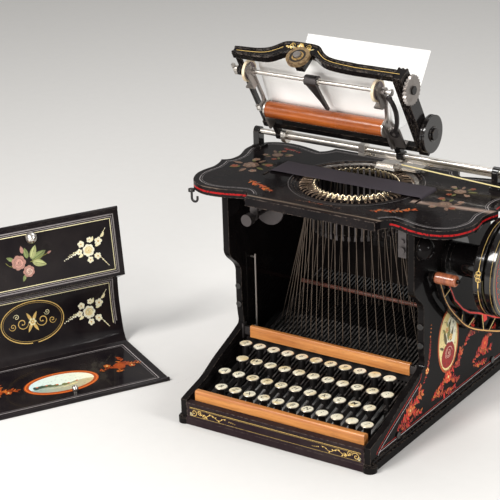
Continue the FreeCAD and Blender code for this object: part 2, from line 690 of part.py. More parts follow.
pawl_path = [PAWL_AT, (43.5, 60), (48, 72), (51, 86), (51.3, 98), (49, 110)]
pawl_place = lambda p: V(p[0], RAIL_Y - p[1], RAIL_Z - 12.6)
pawl = fuse([
    smooth_strip(pawl_path, 4.5, pawl_place, V(0, 0, 3)),
    rod_z(RAIL_Z - 12.6, RAIL_Z - 9.6, PAWL_AT[0], RAIL_Y - PAWL_AT[1], 5.5),
    rod_z(RAIL_Z - 12.6, RAIL_Z - 9.6, 49, RAIL_Y - 110, 3.4),
])
save("pawl_lever", tilt(pawl.cut(
    rod_z(RAIL_Z - 20, RAIL_Z, PAWL_AT[0], RAIL_Y - PAWL_AT[1], 2 + RUN_GAP))))

# Feed shaft with its tyred wheels and the paper finger
save("feed_shaft", tilt(fuse([
    spindle(-160, 50, FEED, FEED_R), spindle(-64, -44, FEED, 4),
    lowered(-161, -157, FEED[0] - 8, FEED[0] + 8, FEED[1] - 1.5, FEED[1] + 1.5),
    spindle(-156.8, -154, FEED, 4.5), spindle(47.5, 50, FEED, 4),
])))
FEED_WHEELS = ((-142.0, -137.0), (29.0, 34.0))
tyres = []
for x0, x1 in FEED_WHEELS:
    tyre = fuse([spindle(x0 + 0.8, x1 - 0.8, FEED, FEED_WHEEL_R), spindle(x0, x1, FEED, FEED_WHEEL_R - 3)])
    tyres.append(tyre.cut(spindle(x0 - 1, x1 + 1, FEED, FEED_R)))
save("feed_wheels", tilt(Part.makeCompound(tyres)))
FINGER = [(-61, 108), (-47, 108), (-46, 92), (-43, 69.5), (-46.6, 69.5), (-50, 82), (-56, 97)]
finger_hub = spindle(FINGER[0][0] - 1, FINGER[1][0] + 1, FEED, 6.2)
finger = fuse([flat_arm(FINGER, -9, -5.5), finger_hub]).cut(spindle(-66, -42, FEED, 4 + RUN_GAP))
save("paper_finger", tilt(finger))

strap_disc = fuse([
    spindle(STRAP_X[0] + 0.6, STRAP_X[1] - 1, STRAP_AT, 22), spindle(STRAP_X[0], STRAP_X[1], STRAP_AT, 9),
]).cut(spindle(STRAP_X[0] - 2, STRAP_X[1] + 4, STRAP_AT, 4 + RUN_GAP))
groove_x = (STRAP_X[0] + 2.6, STRAP_X[0] + 4.6)
groove = spindle(groove_x[0], groove_x[1], STRAP_AT, 24).cut(spindle(groove_x[0], groove_x[1], STRAP_AT, 20.5))
save("strap_wheel", tilt(strap_disc.cut(groove)))

TEETH = 24
teeth = []
for i in range(2 * TEETH):
    turn = math.pi * i / TEETH
    r = 17.5 if i % 2 == 0 else 15.6
    teeth.append((RAIL_Y - RATCHET_AT[0] + r * math.cos(turn), RAIL_Z + RATCHET_AT[1] + r * math.sin(turn)))
ratchet = prism_x(teeth, RATCHET_X[0], RATCHET_X[1])
ratchet = ratchet.cut(spindle(RATCHET_X[0] - 3, RATCHET_X[1] + 3, RATCHET_AT, 3 + RUN_GAP))
save("ratchet_wheel", tilt(ratchet))

paper_path = [(60.5, 111), (48, 85), (37, 58.5), (29, 30), (33, 14), (42, 5.8), (55, 3.0), (72, 5.4), (90, 8.5),
              (112, 12.5), (128, 16)]
paper_place = lambda p: V(-136, RAIL_Y - p[0], RAIL_Z + p[1])
save("paper", tilt(smooth_strip(paper_path, PAPER_T, paper_place, V(167, 0, 0))))

# Spring drum on its bracket, the cord guide and the cord
housing = fuse([
    rod_x(PANEL_X, PANEL_X + 5.5, RING_Y, DRUM_Z, 29),
    rod_x(PANEL_X + 5.5, 160, RING_Y, DRUM_Z, 19),
    rod_x(160, DRUM_X[0] - 3, RING_Y, DRUM_Z, 14),
])
save("drum_bracket", housing.cut(rod_x(150, DRUM_X[0], RING_Y, DRUM_Z, 4)))
axle = fuse([
    rod_x(150, DRUM_X[1] + 4, RING_Y, DRUM_Z, 4),
    rod_x(DRUM_X[1] + 0.6, DRUM_X[1] + 4, RING_Y, DRUM_Z, 7),
    rod_x(DRUM_X[0] - 3, DRUM_X[0] - 0.6, RING_Y, DRUM_Z, 7),
])
save("drum_axle", axle)
GROOVE_X = 0.5 * (DRUM_X[0] + DRUM_X[1])
drum = rod_x(DRUM_X[0], DRUM_X[1], RING_Y, DRUM_Z, DRUM_R)
cuts = [
    rod_x(GROOVE_X - 2, GROOVE_X + 2, RING_Y, DRUM_Z, DRUM_R + 1).cut(
        rod_x(GROOVE_X - 2, GROOVE_X + 2, RING_Y, DRUM_Z, GROOVE_R)),
    rod_x(DRUM_X[0] - 5, DRUM_X[1] + 5, RING_Y, DRUM_Z, 4 + RUN_GAP),
    rod_x(DRUM_X[0] - 1, DRUM_X[0] + 3, RING_Y, DRUM_Z, 42).cut(
        rod_x(DRUM_X[0] - 1, DRUM_X[0] + 3, RING_Y, DRUM_Z, 13)),
]
save("spring_drum", drum.cut(Part.makeCompound(cuts)))

px = GROOVE_X - 6.8
sheave = fuse([
    rod_y(CORD_Y - 2.6, CORD_Y - 1.2, px, PULLEY[2], 8), rod_y(CORD_Y + 1.2, CORD_Y + 2.6, px, PULLEY[2], 8),
    rod_y(CORD_Y - 1.2, CORD_Y + 1.2, px, PULLEY[2], 6), rod_y(CORD_Y - 8, CORD_Y + 8, px, PULLEY[2], 1.6),
])
ear_pts = [(168, PLATE_TOP), (px - 4, PLATE_TOP + 2), (px + 4, PLATE_TOP + 2), (px + 4, 249.5), (px - 0.6, 249.5),
           (px - 0.6, PLATE_TOP)]
ears = [prism_y(ear_pts, CORD_Y - 6.5, CORD_Y - 3.4), prism_y(ear_pts, CORD_Y + 3.4, CORD_Y + 6.5)]
save("cord_guide", fuse([sheave] + ears))

start = V(EYE_X + 2.2, CORD_Y, RAIL_Z - 8.7)
centre = V(px, CORD_Y, PULLEY[2])
wrap = 6.0 + CORD_R
reach = centre.sub(start)
drop = math.atan2(-reach.z, reach.x) - math.asin(wrap / reach.Length)


def on_sheave(angle):
    return V(centre.x + wrap * math.sin(angle), CORD_Y, centre.z + wrap * math.cos(angle))


touch = on_sheave(drop)
leave = on_sheave(math.pi / 2)
round_end = V(leave.x, RING_Y - GROOVE_R - CORD_R, DRUM_Z)
round_low = V(leave.x, RING_Y, DRUM_Z - GROOVE_R - CORD_R)
cord_path = Part.Wire([
    Part.makeLine(start, touch),
    Part.Arc(touch, on_sheave((drop + math.pi / 2) / 2), leave).toShape(),
    Part.makeLine(leave, V(leave.x, CORD_Y, DRUM_Z)),
    Part.Arc(V(leave.x, CORD_Y, DRUM_Z), round_low, round_end).toShape(),
])
cord_ring = Part.Wire([Part.makeCircle(CORD_R - 0.02, start, touch.sub(start))])
save("draw_cord", cord_path.makePipeShell([cord_ring], True, False, 2))

# Crank: two curved chords with webs between them, a hub and a turned grip
DRAWN_REACH = 195.0


def crank_point(y, z):
    """Point drawn for the usual reach from grip to pivot, kept in proportion when that changes."""
    return (GRIP[0] + (y - GRIP[0]) * (CRANK_PIVOT[0] - GRIP[0]) / DRAWN_REACH, z)


def crank_points(points):
    return [crank_point(p[0], p[1]) for p in points]


OUTER = crank_points([
    GRIP, (131, 183), (137.3, 173.5), (144.7, 157.7), (154.5, 143.2), (164.3, 132.3), (179.1, 118.2),
    (199, 101.5), (222.1, 88.2), (253.2, 74.4), (287.7, 60.6), (312, 53)])
UPPER = crank_points([
    (131, 183), (146, 181), (158.7, 163.4), (171.2, 143.1), (191.1, 124.8), (208.7, 113.9), (229, 105.7),
    (255, 93.5), (273.4, 84), (310, 70)])
WEBS = [
    [(160, 161), (146, 156)], [(191.2, 122.3), (188, 110)], [(224, 105.1), (204, 98)],
    [(239.5, 100), (244, 79)], [(273.6, 82.7), (258.3, 73)]]
BLOCK = crank_points([(240, 101), (252, 96), (254, 88), (243, 88)])
way = V(CRANK_X[1] - CRANK_X[0], 0, 0)
arm_parts = [
    smooth_strip(OUTER, 4.4, on_x(CRANK_X[0]), way),
    strip(UPPER, 4.0, on_x(CRANK_X[0]), way),
    rod_x(CRANK_X[0], CRANK_X[1], CRANK_PIVOT[0], CRANK_PIVOT[1], 13),
    rod_x(CRANK_X[0], CRANK_X[1], GRIP[0], GRIP[1], 6),
    rod_x(CRANK_X[0], 166, GRIP[0], GRIP[1], 2.4),
]
for web in WEBS:
    arm_parts.append(strip(crank_points(web), 3.6, on_x(CRANK_X[0]), way))
arm_parts.append(prism_x(BLOCK, CRANK_X[0], CRANK_X[1]))
crank = fuse(arm_parts).cut(
    rod_x(CRANK_X[0] - 2, CRANK_X[1] + 4, CRANK_PIVOT[0], CRANK_PIVOT[1], 5 + RUN_GAP))
save("crank_arm", crank)
grip = Part.makeCylinder(6.5, 26, V(CRANK_X[1] + 1, GRIP[0], GRIP[1]), V(1, 0, 0))
grip = grip.makeFillet(2, [e for e in grip.Edges if len(e.Vertexes) == 1])
save("crank_grip", grip.cut(rod_x(CRANK_X[0], 170, GRIP[0], GRIP[1], 2.4)))


# Cover: three panels in one sheet, standing free beside the machine
def cover_place(p):
    return V(-COVER_W, p[0], p[1])


def to_cover(shape):
    copy = shape.copy()
    copy.rotate(V(0, 0, 0), V(0, 0, 1), COVER_TURN)
    copy.translate(V(COVER_AT[0], COVER_AT[1], 0))
    return copy


along = V(COVER_W, 0, 0)
half_t = COVER_T / 2
LOWER_D = 134.0
MIDDLE = [(LOWER_D - 1, half_t), (139, 8), (145.5, 26), (150, 46), (152.4, 66), (152.8, 82)]
shell = [
    box(-COVER_W, 0, 0, LOWER_D, 0, COVER_T),
    smooth_strip(MIDDLE, COVER_T, cover_place, along),
    strip([(153.2, 81), (126.2, 95)], COVER_T, cover_place, along),
    strip([(126.5, 94.2), (140.5, 178)], COVER_T, cover_place, along),
    rod_x(-COVER_W, 0, 2.2, 2.2, 2.2),
    rod_x(-COVER_W, 0, 152.6, 82.5, 2.0),
    rod_x(-COVER_W, 0, 140.6, 178, 2.2),
]
save("cover_shell", to_cover(fuse(shell)))


def knob(r, stem):
    base = Part.makeCylinder(0.62 * r, stem)
    ball = Part.makeSphere(r, V(0, 0, stem + 0.75 * r))
    return fuse([base, ball])


lean = math.degrees(math.atan2(140.5 - 126.5, 178 - 94.2))
big = knob(7.0, 5.0)
big.rotate(V(0, 0, 0), V(1, 0, 0), 90)
big.rotate(V(0, 0, 0), V(1, 0, 0), -lean)
share = 0.83
big.translate(V(-118, 126.5 + 14.0 * share - half_t / math.cos(math.radians(lean)), 94.2 + 83.8 * share))
small = knob(4.0, 3.0)
small.translate(V(-114, 21, COVER_T))
save("cover_knobs", to_cover(Part.makeCompound([big, small])))
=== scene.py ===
# %% [markdown]
# The machine comes in as solids at their real size, already standing where they belong.
# Nothing is moved here: this file only gives them their finish, their painting and the thin
# pieces that a solid model leaves out. The first cell loads the frame.

# %% Load the frame
import math
import random

import bpy
from mathutils import Matrix, Vector
from mathutils.bvhtree import BVHTree


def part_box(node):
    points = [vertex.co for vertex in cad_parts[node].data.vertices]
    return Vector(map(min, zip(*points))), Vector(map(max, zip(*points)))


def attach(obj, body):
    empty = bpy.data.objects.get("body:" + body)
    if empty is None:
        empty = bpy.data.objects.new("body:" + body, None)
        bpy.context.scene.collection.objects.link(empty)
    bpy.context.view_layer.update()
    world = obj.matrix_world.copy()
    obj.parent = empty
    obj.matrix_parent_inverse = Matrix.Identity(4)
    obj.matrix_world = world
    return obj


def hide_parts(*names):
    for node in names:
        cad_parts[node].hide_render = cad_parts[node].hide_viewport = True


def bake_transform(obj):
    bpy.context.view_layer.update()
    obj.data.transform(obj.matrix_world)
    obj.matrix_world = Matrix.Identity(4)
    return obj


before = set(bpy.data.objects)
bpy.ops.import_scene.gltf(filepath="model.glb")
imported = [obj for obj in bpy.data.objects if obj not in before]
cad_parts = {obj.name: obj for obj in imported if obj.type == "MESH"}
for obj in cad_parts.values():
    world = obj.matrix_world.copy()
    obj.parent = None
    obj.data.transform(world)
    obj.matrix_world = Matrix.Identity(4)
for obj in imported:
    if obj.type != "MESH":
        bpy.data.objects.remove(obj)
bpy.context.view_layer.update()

MM = 0.001
RING_Y = 187.0
LIFT = math.radians(59.0)

# %% [markdown]
# A shader is easier to read as an expression than as a list of links. Wire wraps one socket
# and adds a Math node for each operator, and Finish is a material that makes any other node
# through its one method, add. Colours are mixed with the Mix node, since Math is grey.

# %% Shader helpers


def operator(operation, swap=False):
    """A method that adds one Math node; with swap the other value comes first."""
    return lambda self, other=None: self.math(operation, other, swap)


class Wire:
    """One output socket, with arithmetic."""

    def __init__(self, finish, socket):
        self.finish = finish
        self.socket = socket

    def math(self, operation, other=None, swap=False):
        pair = (other, self) if swap else (self, other)
        values = {i: v for i, v in enumerate(pair) if v is not None}
        return self.finish.add("ShaderNodeMath", {"operation": operation}, values)

    __add__ = operator("ADD")
    __radd__ = operator("ADD", swap=True)
    __sub__ = operator("SUBTRACT")
    __rsub__ = operator("SUBTRACT", swap=True)
    __mul__ = operator("MULTIPLY")
    __rmul__ = operator("MULTIPLY", swap=True)
    __truediv__ = operator("DIVIDE")
    above = operator("GREATER_THAN")
    below = operator("LESS_THAN")
    distance = operator("ABSOLUTE")
    root = operator("SQRT")

    def clamp(self):
        return self.finish.add("ShaderNodeClamp", {}, {"Value": self})

    def ramp(self, low, high):
        """0 below low, 1 above high, a straight slope between them."""
        sockets = {"Value": self, "From Min": low, "From Max": high}
        return self.finish.add("ShaderNodeMapRange", {"clamp": True}, sockets)


class Finish:
    """A material with a Principled shader; add() makes any node."""

    def __init__(self, name):
        self.material = bpy.data.materials.new(name)
        self.material.use_nodes = True
        self.tree = self.material.node_tree
        self.shader = self.tree.nodes["Principled BSDF"]

    def add(self, kind, settings, sockets, output=0):
        node = self.tree.nodes.new(kind)
        for key, value in settings.items():
            if key == "stops":
                self.set_stops(node, value)
            else:
                setattr(node, key, value)
        for key, value in sockets.items():
            self.feed(node.inputs[key], value)
        return Wire(self, node.outputs[output])

    def set_stops(self, node, stops):
        ramp = node.color_ramp
        while len(ramp.elements) < len(stops):
            ramp.elements.new(0.5)
        for element, (place, colour) in zip(ramp.elements, stops):
            element.position = place
            element.color = (*colour, 1.0)

    def feed(self, socket, value):
        if isinstance(value, Wire):
            self.tree.links.new(value.socket, socket)
        elif isinstance(value, tuple) and len(value) == 3 and socket.type == "RGBA":
            socket.default_value = (*value, 1.0)
        else:
            socket.default_value = value

    def set(self, **sockets):
        for key, value in sockets.items():
            self.feed(self.shader.inputs[key.replace("_", " ")], value)
        return self

    def place(self):
        """Object coordinates: metres in the machine's own frame."""
        return self.add("ShaderNodeTexCoord", {}, {}, "Object")

    def axes(self):
        parts = self.add("ShaderNodeSeparateXYZ", {}, {0: self.place()})
        node = parts.socket.node
        return [Wire(self, node.outputs[i]) for i in range(3)]

    def stretch(self, x, y, z):
        """Object coordinates scaled by given factors, for grain that runs along one axis."""
        return self.add("ShaderNodeVectorMath", {"operation": "MULTIPLY"}, {0: self.place(), 1: (x, y, z)})

    def noise(self, scale, detail=3.0, rough=0.55, vector=None):
        vector = vector if vector is not None else self.place()
        sockets = {"Vector": vector, "Scale": scale, "Detail": detail, "Roughness": rough}
        return self.add("ShaderNodeTexNoise", {}, sockets)

    def mix(self, amount, first, second):
        sockets = {"Factor": amount, "A": first, "B": second}
        node = self.tree.nodes.new("ShaderNodeMix")
        node.data_type = "RGBA"
        for socket in node.inputs:
            if socket.enabled and socket.name in sockets:
                self.feed(socket, sockets[socket.name])
        return Wire(self, [s for s in node.outputs if s.enabled][0])

    def edges(self, radius):
        """Close to 1 along edges, where handling rubs the finish off."""
        soft = self.add("ShaderNodeBevel", {"samples": 6}, {"Radius": radius}, "Normal")
        sharp = self.add("ShaderNodeNewGeometry", {}, {}, "Normal")
        turn = self.add("ShaderNodeVectorMath", {"operation": "DOT_PRODUCT"}, {0: soft, 1: sharp}, "Value")
        return (1.0 - turn).ramp(0.02, 0.22)

    def bump(self, height, strength, depth, rounding=0.0):
        """Relief from height. With rounding, edges catch the light as if they were rounded."""
        sockets = {"Height": height, "Strength": strength, "Distance": depth}
        if rounding:
            sockets["Normal"] = self.add("ShaderNodeBevel", {"samples": 6}, {"Radius": rounding}, "Normal")
        self.set(Normal=self.add("ShaderNodeBump", {}, sockets))
        return self


print("shader helpers ready")

# %% [markdown]
# Black japan is an asphalt varnish baked on iron: nearly black, deep and glossy, brown where
# it wears thin and dusty in cloudy patches. The gloss varies with handling, so roughness gets a
# slow noise, and edges turn to a dull brown-grey metal.

# %% Black finishes


def japan(name, colour=(0.0050, 0.0043, 0.0045), gloss=0.12, wear=0.5, dust=0.1, shine=0.12):
    f = Finish(name)
    cloud = f.noise(22.0, 4.0)
    fine = f.noise(260.0, 3.0)
    worn = (f.edges(0.0016) * wear * fine.ramp(0.42, 0.62)).clamp()
    tint = f.mix(cloud.ramp(0.35, 0.75) * dust, colour, (0.045, 0.036, 0.032))
    f.set(Base_Color=f.mix(worn, tint, (0.17, 0.135, 0.11)), Specular_IOR_Level=shine, IOR=1.05 + shine)
    f.set(Roughness=(gloss + cloud.ramp(0.35, 0.8) * 0.2 + worn * 0.25).clamp())
    f.set(Coat_Weight=((1.0 - worn) * shine).clamp(), Coat_Roughness=0.05)
    return f.bump(fine, 0.05, 0.0004, 0.0011).material


JAPAN = japan("black_japan")
SHEET = japan("black_sheet", gloss=0.32, wear=0.3, dust=0.3)
GLOSSY = japan("glossy_japan", gloss=0.08, wear=0.4, dust=0.08, shine=0.4)
COVER = japan("cover_japan", colour=(0.009, 0.007, 0.0085), gloss=0.14, wear=0.8, dust=0.35, shine=0.2)
CAST = japan("carriage_japan", gloss=0.1, wear=0.85, dust=0.1, shine=0.3)
BAND = japan("band_japan", colour=(0.017, 0.009, 0.012), gloss=0.22, wear=1.0, dust=0.4)


TRACK_Y = 0.0905
# Where the plate's painted highlight band runs, in metres: the y of its slanting line at x = 0.
GLARE_BAND_Y = 0.152
STEP_R = (0.0628, 0.0712)


def plate_finish():
    """Top plate: the same japan, worn by the carriage wheel along the front, with a painted highlight band at
    the right.
    """
    f = Finish("plate_japan")
    x, y, z = f.axes()
    cloud = f.noise(16.0, 5.0)
    fine = f.noise(300.0, 4.0)
    streak = f.noise(1.0, 4.0, vector=f.stretch(14.0, 420.0, 60.0))
    near_track = (1.0 - ((y - TRACK_Y).distance() / 0.0032)).clamp()
    track = near_track * streak.ramp(0.38, 0.62) * x.below(0.1)
    top = z.above(0.2545)
    # Painted highlight: a pale pinkish streaky band across the right lobe's top stands for a glare on the
    # plate.
    near_glare_band = (1.0 - ((y - GLARE_BAND_Y - x * 0.12).distance() / 0.007)).clamp()
    band = near_glare_band * x.above(0.085) * streak.ramp(0.3, 0.5)
    worn = (f.edges(0.002) * 0.7 * fine.ramp(0.42, 0.6)).clamp()
    scuffs = fine.ramp(0.6, 0.75) * cloud.ramp(0.45, 0.7)
    base = f.mix(cloud.ramp(0.4, 0.75) * 0.3, (0.0045, 0.0036, 0.0042), (0.030, 0.022, 0.021))
    base = f.mix(scuffs * 0.4, base, (0.12, 0.08, 0.055))
    base = f.mix(track * top * 0.75, base, (0.36, 0.27, 0.20))
    base = f.mix(band * top * 0.8, base, (0.42, 0.30, 0.24))
    upward = f.add("ShaderNodeSeparateXYZ", {}, {0: f.add("ShaderNodeNewGeometry", {}, {}, "Normal")}, 2)
    dy = y - RING_Y * MM
    radius = (x * x + dy * dy).root()
    step = radius.below(STEP_R[1]) * y.above(0.2)
    steel = (step * radius.above(STEP_R[0]) * (0.35 + cloud.ramp(0.4, 0.6) * 0.65)).clamp()
    line = upward.distance().below(0.3) * z.above(0.2484) * z.below(0.2506) * x.distance().above(0.093)
    base = f.mix(steel, base, (0.50, 0.47, 0.44))
    base = f.mix(line * fine.ramp(0.35, 0.5) * 0.9, base, (0.40, 0.010, 0.011))
    f.set(Base_Color=f.mix(worn, base, (0.22, 0.17, 0.14)), Specular_IOR_Level=0.14, IOR=1.22)
    f.set(Roughness=(0.16 + cloud.ramp(0.35, 0.75) * 0.25 + track * 0.2).clamp(), Metallic=steel * 0.8)
    f.set(Coat_Weight=0.14, Coat_Roughness=0.05)
    return f.bump(fine, 0.08, 0.0004, 0.0013).material


PLATE = plate_finish()
print("black finishes:", JAPAN.name, SHEET.name, PLATE.name)

# %% [markdown]
# Nickel plate is never a perfect mirror on an old machine. Its colour leans to warm grey,
# brown stains gather on it and fine rubbing marks run along the piece. Steel and brass are
# the same recipe with another colour and more roughness.

# %% Metals


def metal(name, colour, stain, rough=0.22, spots=0.35, grain=(90.0, 90.0, 90.0)):
    f = Finish(name)
    cloud = f.noise(60.0, 5.0)
    marks = f.noise(1.0, 4.0, vector=f.stretch(*grain))
    dirt = (cloud.ramp(0.5, 0.72) * spots).clamp()
    f.set(Base_Color=f.mix(dirt, colour, stain), Metallic=1.0 - dirt * 0.6)
    f.set(Roughness=(rough + marks.ramp(0.3, 0.7) * 0.14 + dirt * 0.3).clamp())
    return f.bump(marks, 0.06, 0.0003).material


NICKEL = metal("nickel", (0.72, 0.68, 0.63), (0.24, 0.17, 0.12), grain=(20.0, 500.0, 500.0))
STEEL = metal("steel", (0.36, 0.33, 0.31), (0.10, 0.075, 0.06), 0.34, 0.5)
DARK_STEEL = metal("dark_steel", (0.10, 0.09, 0.09), (0.03, 0.025, 0.022), 0.38, 0.5)
WIRE = metal("pull_wire", (0.17, 0.135, 0.11), (0.06, 0.043, 0.033), 0.38, 0.6)
BRASS = metal("brass", (0.72, 0.50, 0.24), (0.22, 0.13, 0.06), 0.26, 0.45)
LOOPS = metal("hanger_wire", (0.85, 0.72, 0.50), (0.28, 0.19, 0.10), 0.2, 0.45)
OLD_LOOPS = metal("old_wire", (0.26, 0.185, 0.13), (0.035, 0.022, 0.016), 0.3, 1.0)


def rod_paint():
    f = Finish("rust_rod")
    flakes = f.noise(180.0, 4.0)
    f.set(Base_Color=f.mix(flakes.ramp(0.4, 0.65), (0.22, 0.075, 0.05), (0.09, 0.05, 0.04)))
    return f.set(Roughness=flakes.ramp(0.2, 0.9) * 0.3 + 0.3).material


RUST = rod_paint()


FACE_EDGE = 0.0098
GILT_R = 0.0062


def wheel_face():
    """Guide wheel over the crest: a brass rim round a nearly black face with a worn gilt ring."""
    f = Finish("crest_wheel")
    low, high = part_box("centre_wheel")
    middle = (low + high) / 2
    spread = f.add("ShaderNodeVectorMath", {"operation": "SUBTRACT"}, {0: f.place(), 1: tuple(middle)})
    across = {0: spread, 1: (0.0, -math.cos(LIFT), math.sin(LIFT))}
    arm = f.add("ShaderNodeVectorMath", {"operation": "CROSS_PRODUCT"}, across)
    radius = f.add("ShaderNodeVectorMath", {"operation": "LENGTH"}, {0: arm}, "Value")
    rust = f.noise(210.0, 4.0)
    rim = radius.above(FACE_EDGE)
    ring = (radius - GILT_R).distance().below(0.0009) * rust.ramp(0.35, 0.5)
    colour = f.mix(ring * 0.8, (0.02, 0.015, 0.012), (0.42, 0.27, 0.10))
    gilt = f.mix(rust.ramp(0.45, 0.7), (0.55, 0.38, 0.20), (0.16, 0.09, 0.05))
    f.set(Base_Color=f.mix(rim, colour, gilt), Metallic=rim * 0.8, Roughness=0.25 + rust * 0.15)
    return f.material


CREST_WHEEL = wheel_face()
print("metals ready")

# %% [markdown]
# The board, the space bar and the roller are varnished hardwood. Grain is long in one axis,
# so the coordinates are stretched before the noise, and two layers are used: broad bands of
# light and dark, and fine pores. Dirt gathers at the edges.

# %% Woods


def wood(name, light, dark, gloss=0.28, grain=(9.0, 160.0, 160.0), dirt=0.5):
    f = Finish(name)
    bands = f.noise(1.0, 3.0, vector=f.stretch(*grain))
    pores = f.noise(1.0, 5.0, 0.7, vector=f.stretch(grain[0] * 6, grain[1] * 6, grain[2] * 6))
    cloud = f.noise(45.0, 4.0)
    colour = f.mix(bands.ramp(0.32, 0.68), dark, light)
    colour = f.mix(pores.ramp(0.52, 0.72) * 0.5, colour, tuple(c * 0.35 for c in dark))
    grime = (f.edges(0.0018) * dirt * cloud.ramp(0.35, 0.6) + cloud.ramp(0.6, 0.8) * 0.25).clamp()
    f.set(Base_Color=f.mix(grime, colour, (0.05, 0.022, 0.012)))
    f.set(Roughness=(gloss + cloud.ramp(0.3, 0.7) * 0.18).clamp(), Coat_Weight=0.3, Coat_Roughness=0.15)
    return f.bump(pores, 0.12, 0.0003).material


BOARD = wood("board_wood", (0.68, 0.29, 0.085), (0.42, 0.14, 0.035))
GRIP = wood("grip_wood", (0.40, 0.13, 0.055), (0.18, 0.05, 0.025), 0.18, (300.0, 40.0, 40.0), 0.4)
ROLLER = wood("roller_wood", (0.42, 0.105, 0.018), (0.20, 0.042, 0.008), 0.13, (12.0, 90.0, 90.0), 0.3)
print("woods ready")

# %% [markdown]
# Cloth, paper and rubber are the soft looking pieces: the ribbon is a fine weave stiff with
# ink, the paper is bright and matt, and the wheels carry cream tyres on purple-grey flanges.
# The tyre is told from its flange by the distance from the feed shaft's axis.

# %% Ribbon, paper, tyres and cord


def ribbon_cloth():
    f = Finish("ribbon_cloth")
    weave = f.add("ShaderNodeTexWave", {"bands_direction": "X"}, {"Scale": 900.0, "Vector": f.place()})
    cloud = f.noise(40.0, 3.0)
    f.set(Base_Color=f.mix(cloud, (0.022, 0.017, 0.023), (0.036, 0.027, 0.037)), Roughness=0.85)
    return f.bump(weave, 0.2, 0.0002).material


def paper_sheet():
    f = Finish("paper_sheet")
    fibre = f.noise(700.0, 4.0)
    age = f.noise(25.0, 3.0)
    f.set(Base_Color=f.mix(age.ramp(0.3, 0.8), (0.90, 0.90, 0.89), (0.85, 0.84, 0.81)), Roughness=0.75)
    return f.bump(fibre, 0.08, 0.0002).material


FEED_AXIS = (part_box("feed_shaft")[0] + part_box("feed_shaft")[1]) / 2


FLANGE_R = 0.0108


def tyred_wheel():
    f = Finish("cream_tyre")
    x, y, z = f.axes()
    dy = y - FEED_AXIS[1]
    dz = z - FEED_AXIS[2]
    radius = (dy * dy + dz * dz).root()
    rim = radius.above(FLANGE_R)
    grime = f.noise(120.0, 4.0)
    tyre = f.mix(grime.ramp(0.45, 0.7), (0.80, 0.68, 0.48), (0.45, 0.32, 0.20))
    flange = f.mix(grime, (0.13, 0.10, 0.115), (0.24, 0.19, 0.20))
    f.set(Base_Color=f.mix(rim, flange, tyre), Metallic=(1.0 - rim) * 0.6)
    return f.set(Roughness=0.3 + rim * 0.2).material


def cord_yarn():
    f = Finish("cord_yarn")
    twist = f.noise(900.0, 2.0)
    f.set(Base_Color=f.mix(twist, (0.62, 0.50, 0.20), (0.85, 0.75, 0.42)), Roughness=0.8)
    return f.material


RIBBON = ribbon_cloth()
PAPER = paper_sheet()
TYRE = tyred_wheel()
CORD = cord_yarn()


LEVER_FRONT = 0.034
LEVER_SLOPE = 0.28
LEVER_TOP = 0.0305


def key_finish():
    """Black levers whose upward faces in front carry a painted highlight, glossy barrels, and a nickel rim
    round each key top.
    """
    f = Finish("key_metal")
    x, y, z = f.axes()
    high = (z - (y - LEVER_FRONT) * LEVER_SLOPE - LEVER_TOP).above(0.0)
    up = f.add("ShaderNodeSeparateXYZ", {}, {0: f.add("ShaderNodeNewGeometry", {}, {}, "Normal")}, 2)
    rim = high * up.above(0.3)
    # Painted highlight: upward faces of the levers in front of y = 0.2 m are lighter grey; further back the
    # levers stay dark.
    painted_top_highlight = up.above(0.8) * (1.0 - high) * y.below(0.2)
    specks = f.noise(240.0, 3.0)
    colour = f.mix(painted_top_highlight * specks.ramp(0.3, 0.6), (0.007, 0.006, 0.006), (0.11, 0.10, 0.095))
    f.set(Base_Color=f.mix(rim * 0.85, colour, (0.62, 0.55, 0.45)), Specular_IOR_Level=0.4)
    f.set(Metallic=(rim * 0.8 + painted_top_highlight * 0.3).clamp(), Roughness=0.26 + specks * 0.15)
    return f.material


KEYS = key_finish()
print("soft finishes:", RIBBON.name, PAPER.name, TYRE.name, CORD.name)

# %% [markdown]
# Each node gets its finish by name. The slots of the imported meshes are simply filled with
# the new materials; the meshes themselves stay as they are.

# %% Give every node its finish
FINISHES = {
    JAPAN: ["side_panel_left", "side_panel_right", "crank_arm", "type_ring"],
    GLOSSY: ["drum_bracket", "spring_drum", "rail_posts", "strap_wheel", "frame_screws", "plate_hook"],
    BAND: ["base_frame"],
    CAST: ["carriage_frame"],
    SHEET: ["back_panel"],
    COVER: ["cover_shell"],
    PLATE: ["top_plate"],
    NICKEL: ["rear_rail", "feed_bracket", "carriage_sleeve", "rack_bar", "feed_shaft", "platen_ends",
             "cover_knobs"],
    CREST_WHEEL: ["centre_wheel"],
    STEEL: ["lever_fulcrum", "platen_brackets", "drum_axle", "centre_wheel_pin",
            "ratchet_wheel", "guard_rods"],
    DARK_STEEL: ["guide_comb", "space_bar_arms", "spool_bearings", "paper_finger", "pawl_lever",
                 "ribbon_spool_left", "ribbon_spool_right", "board_clips", "typebars", "working_typebar"],
    KEYS: [f"keys_row_{row}" for row in range(1, 5)] + ["working_key"],
    WIRE: [f"pull_wires_{row}" for row in range(1, 5)] + ["working_wire"],
    BRASS: ["cord_guide"],
    LOOPS: ["type_hangers"],
    RUST: ["cross_rod"],
    BOARD: ["letter_board", "space_bar"],
    ROLLER: ["platen"],
    GRIP: ["crank_grip"],
    RIBBON: ["ribbon"],
    PAPER: ["paper"],
    TYRE: ["feed_wheels"],
    CORD: ["draw_cord"],
}
finished = []
for material, nodes in FINISHES.items():
    for name in nodes:
        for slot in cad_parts[name].material_slots:
            slot.material = material
        finished.append(name)
print("finished", len(finished), "left", sorted(set(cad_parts) - set(finished)))

# %% [markdown]
# A key top is a cream disc under a thin rim, with one dark slanting character. Each row's
# discs make one piece, and so do its characters, and both ride on that row's body. The rows'
# places repeat the key pitch and heights of the solid model, in millimetres.

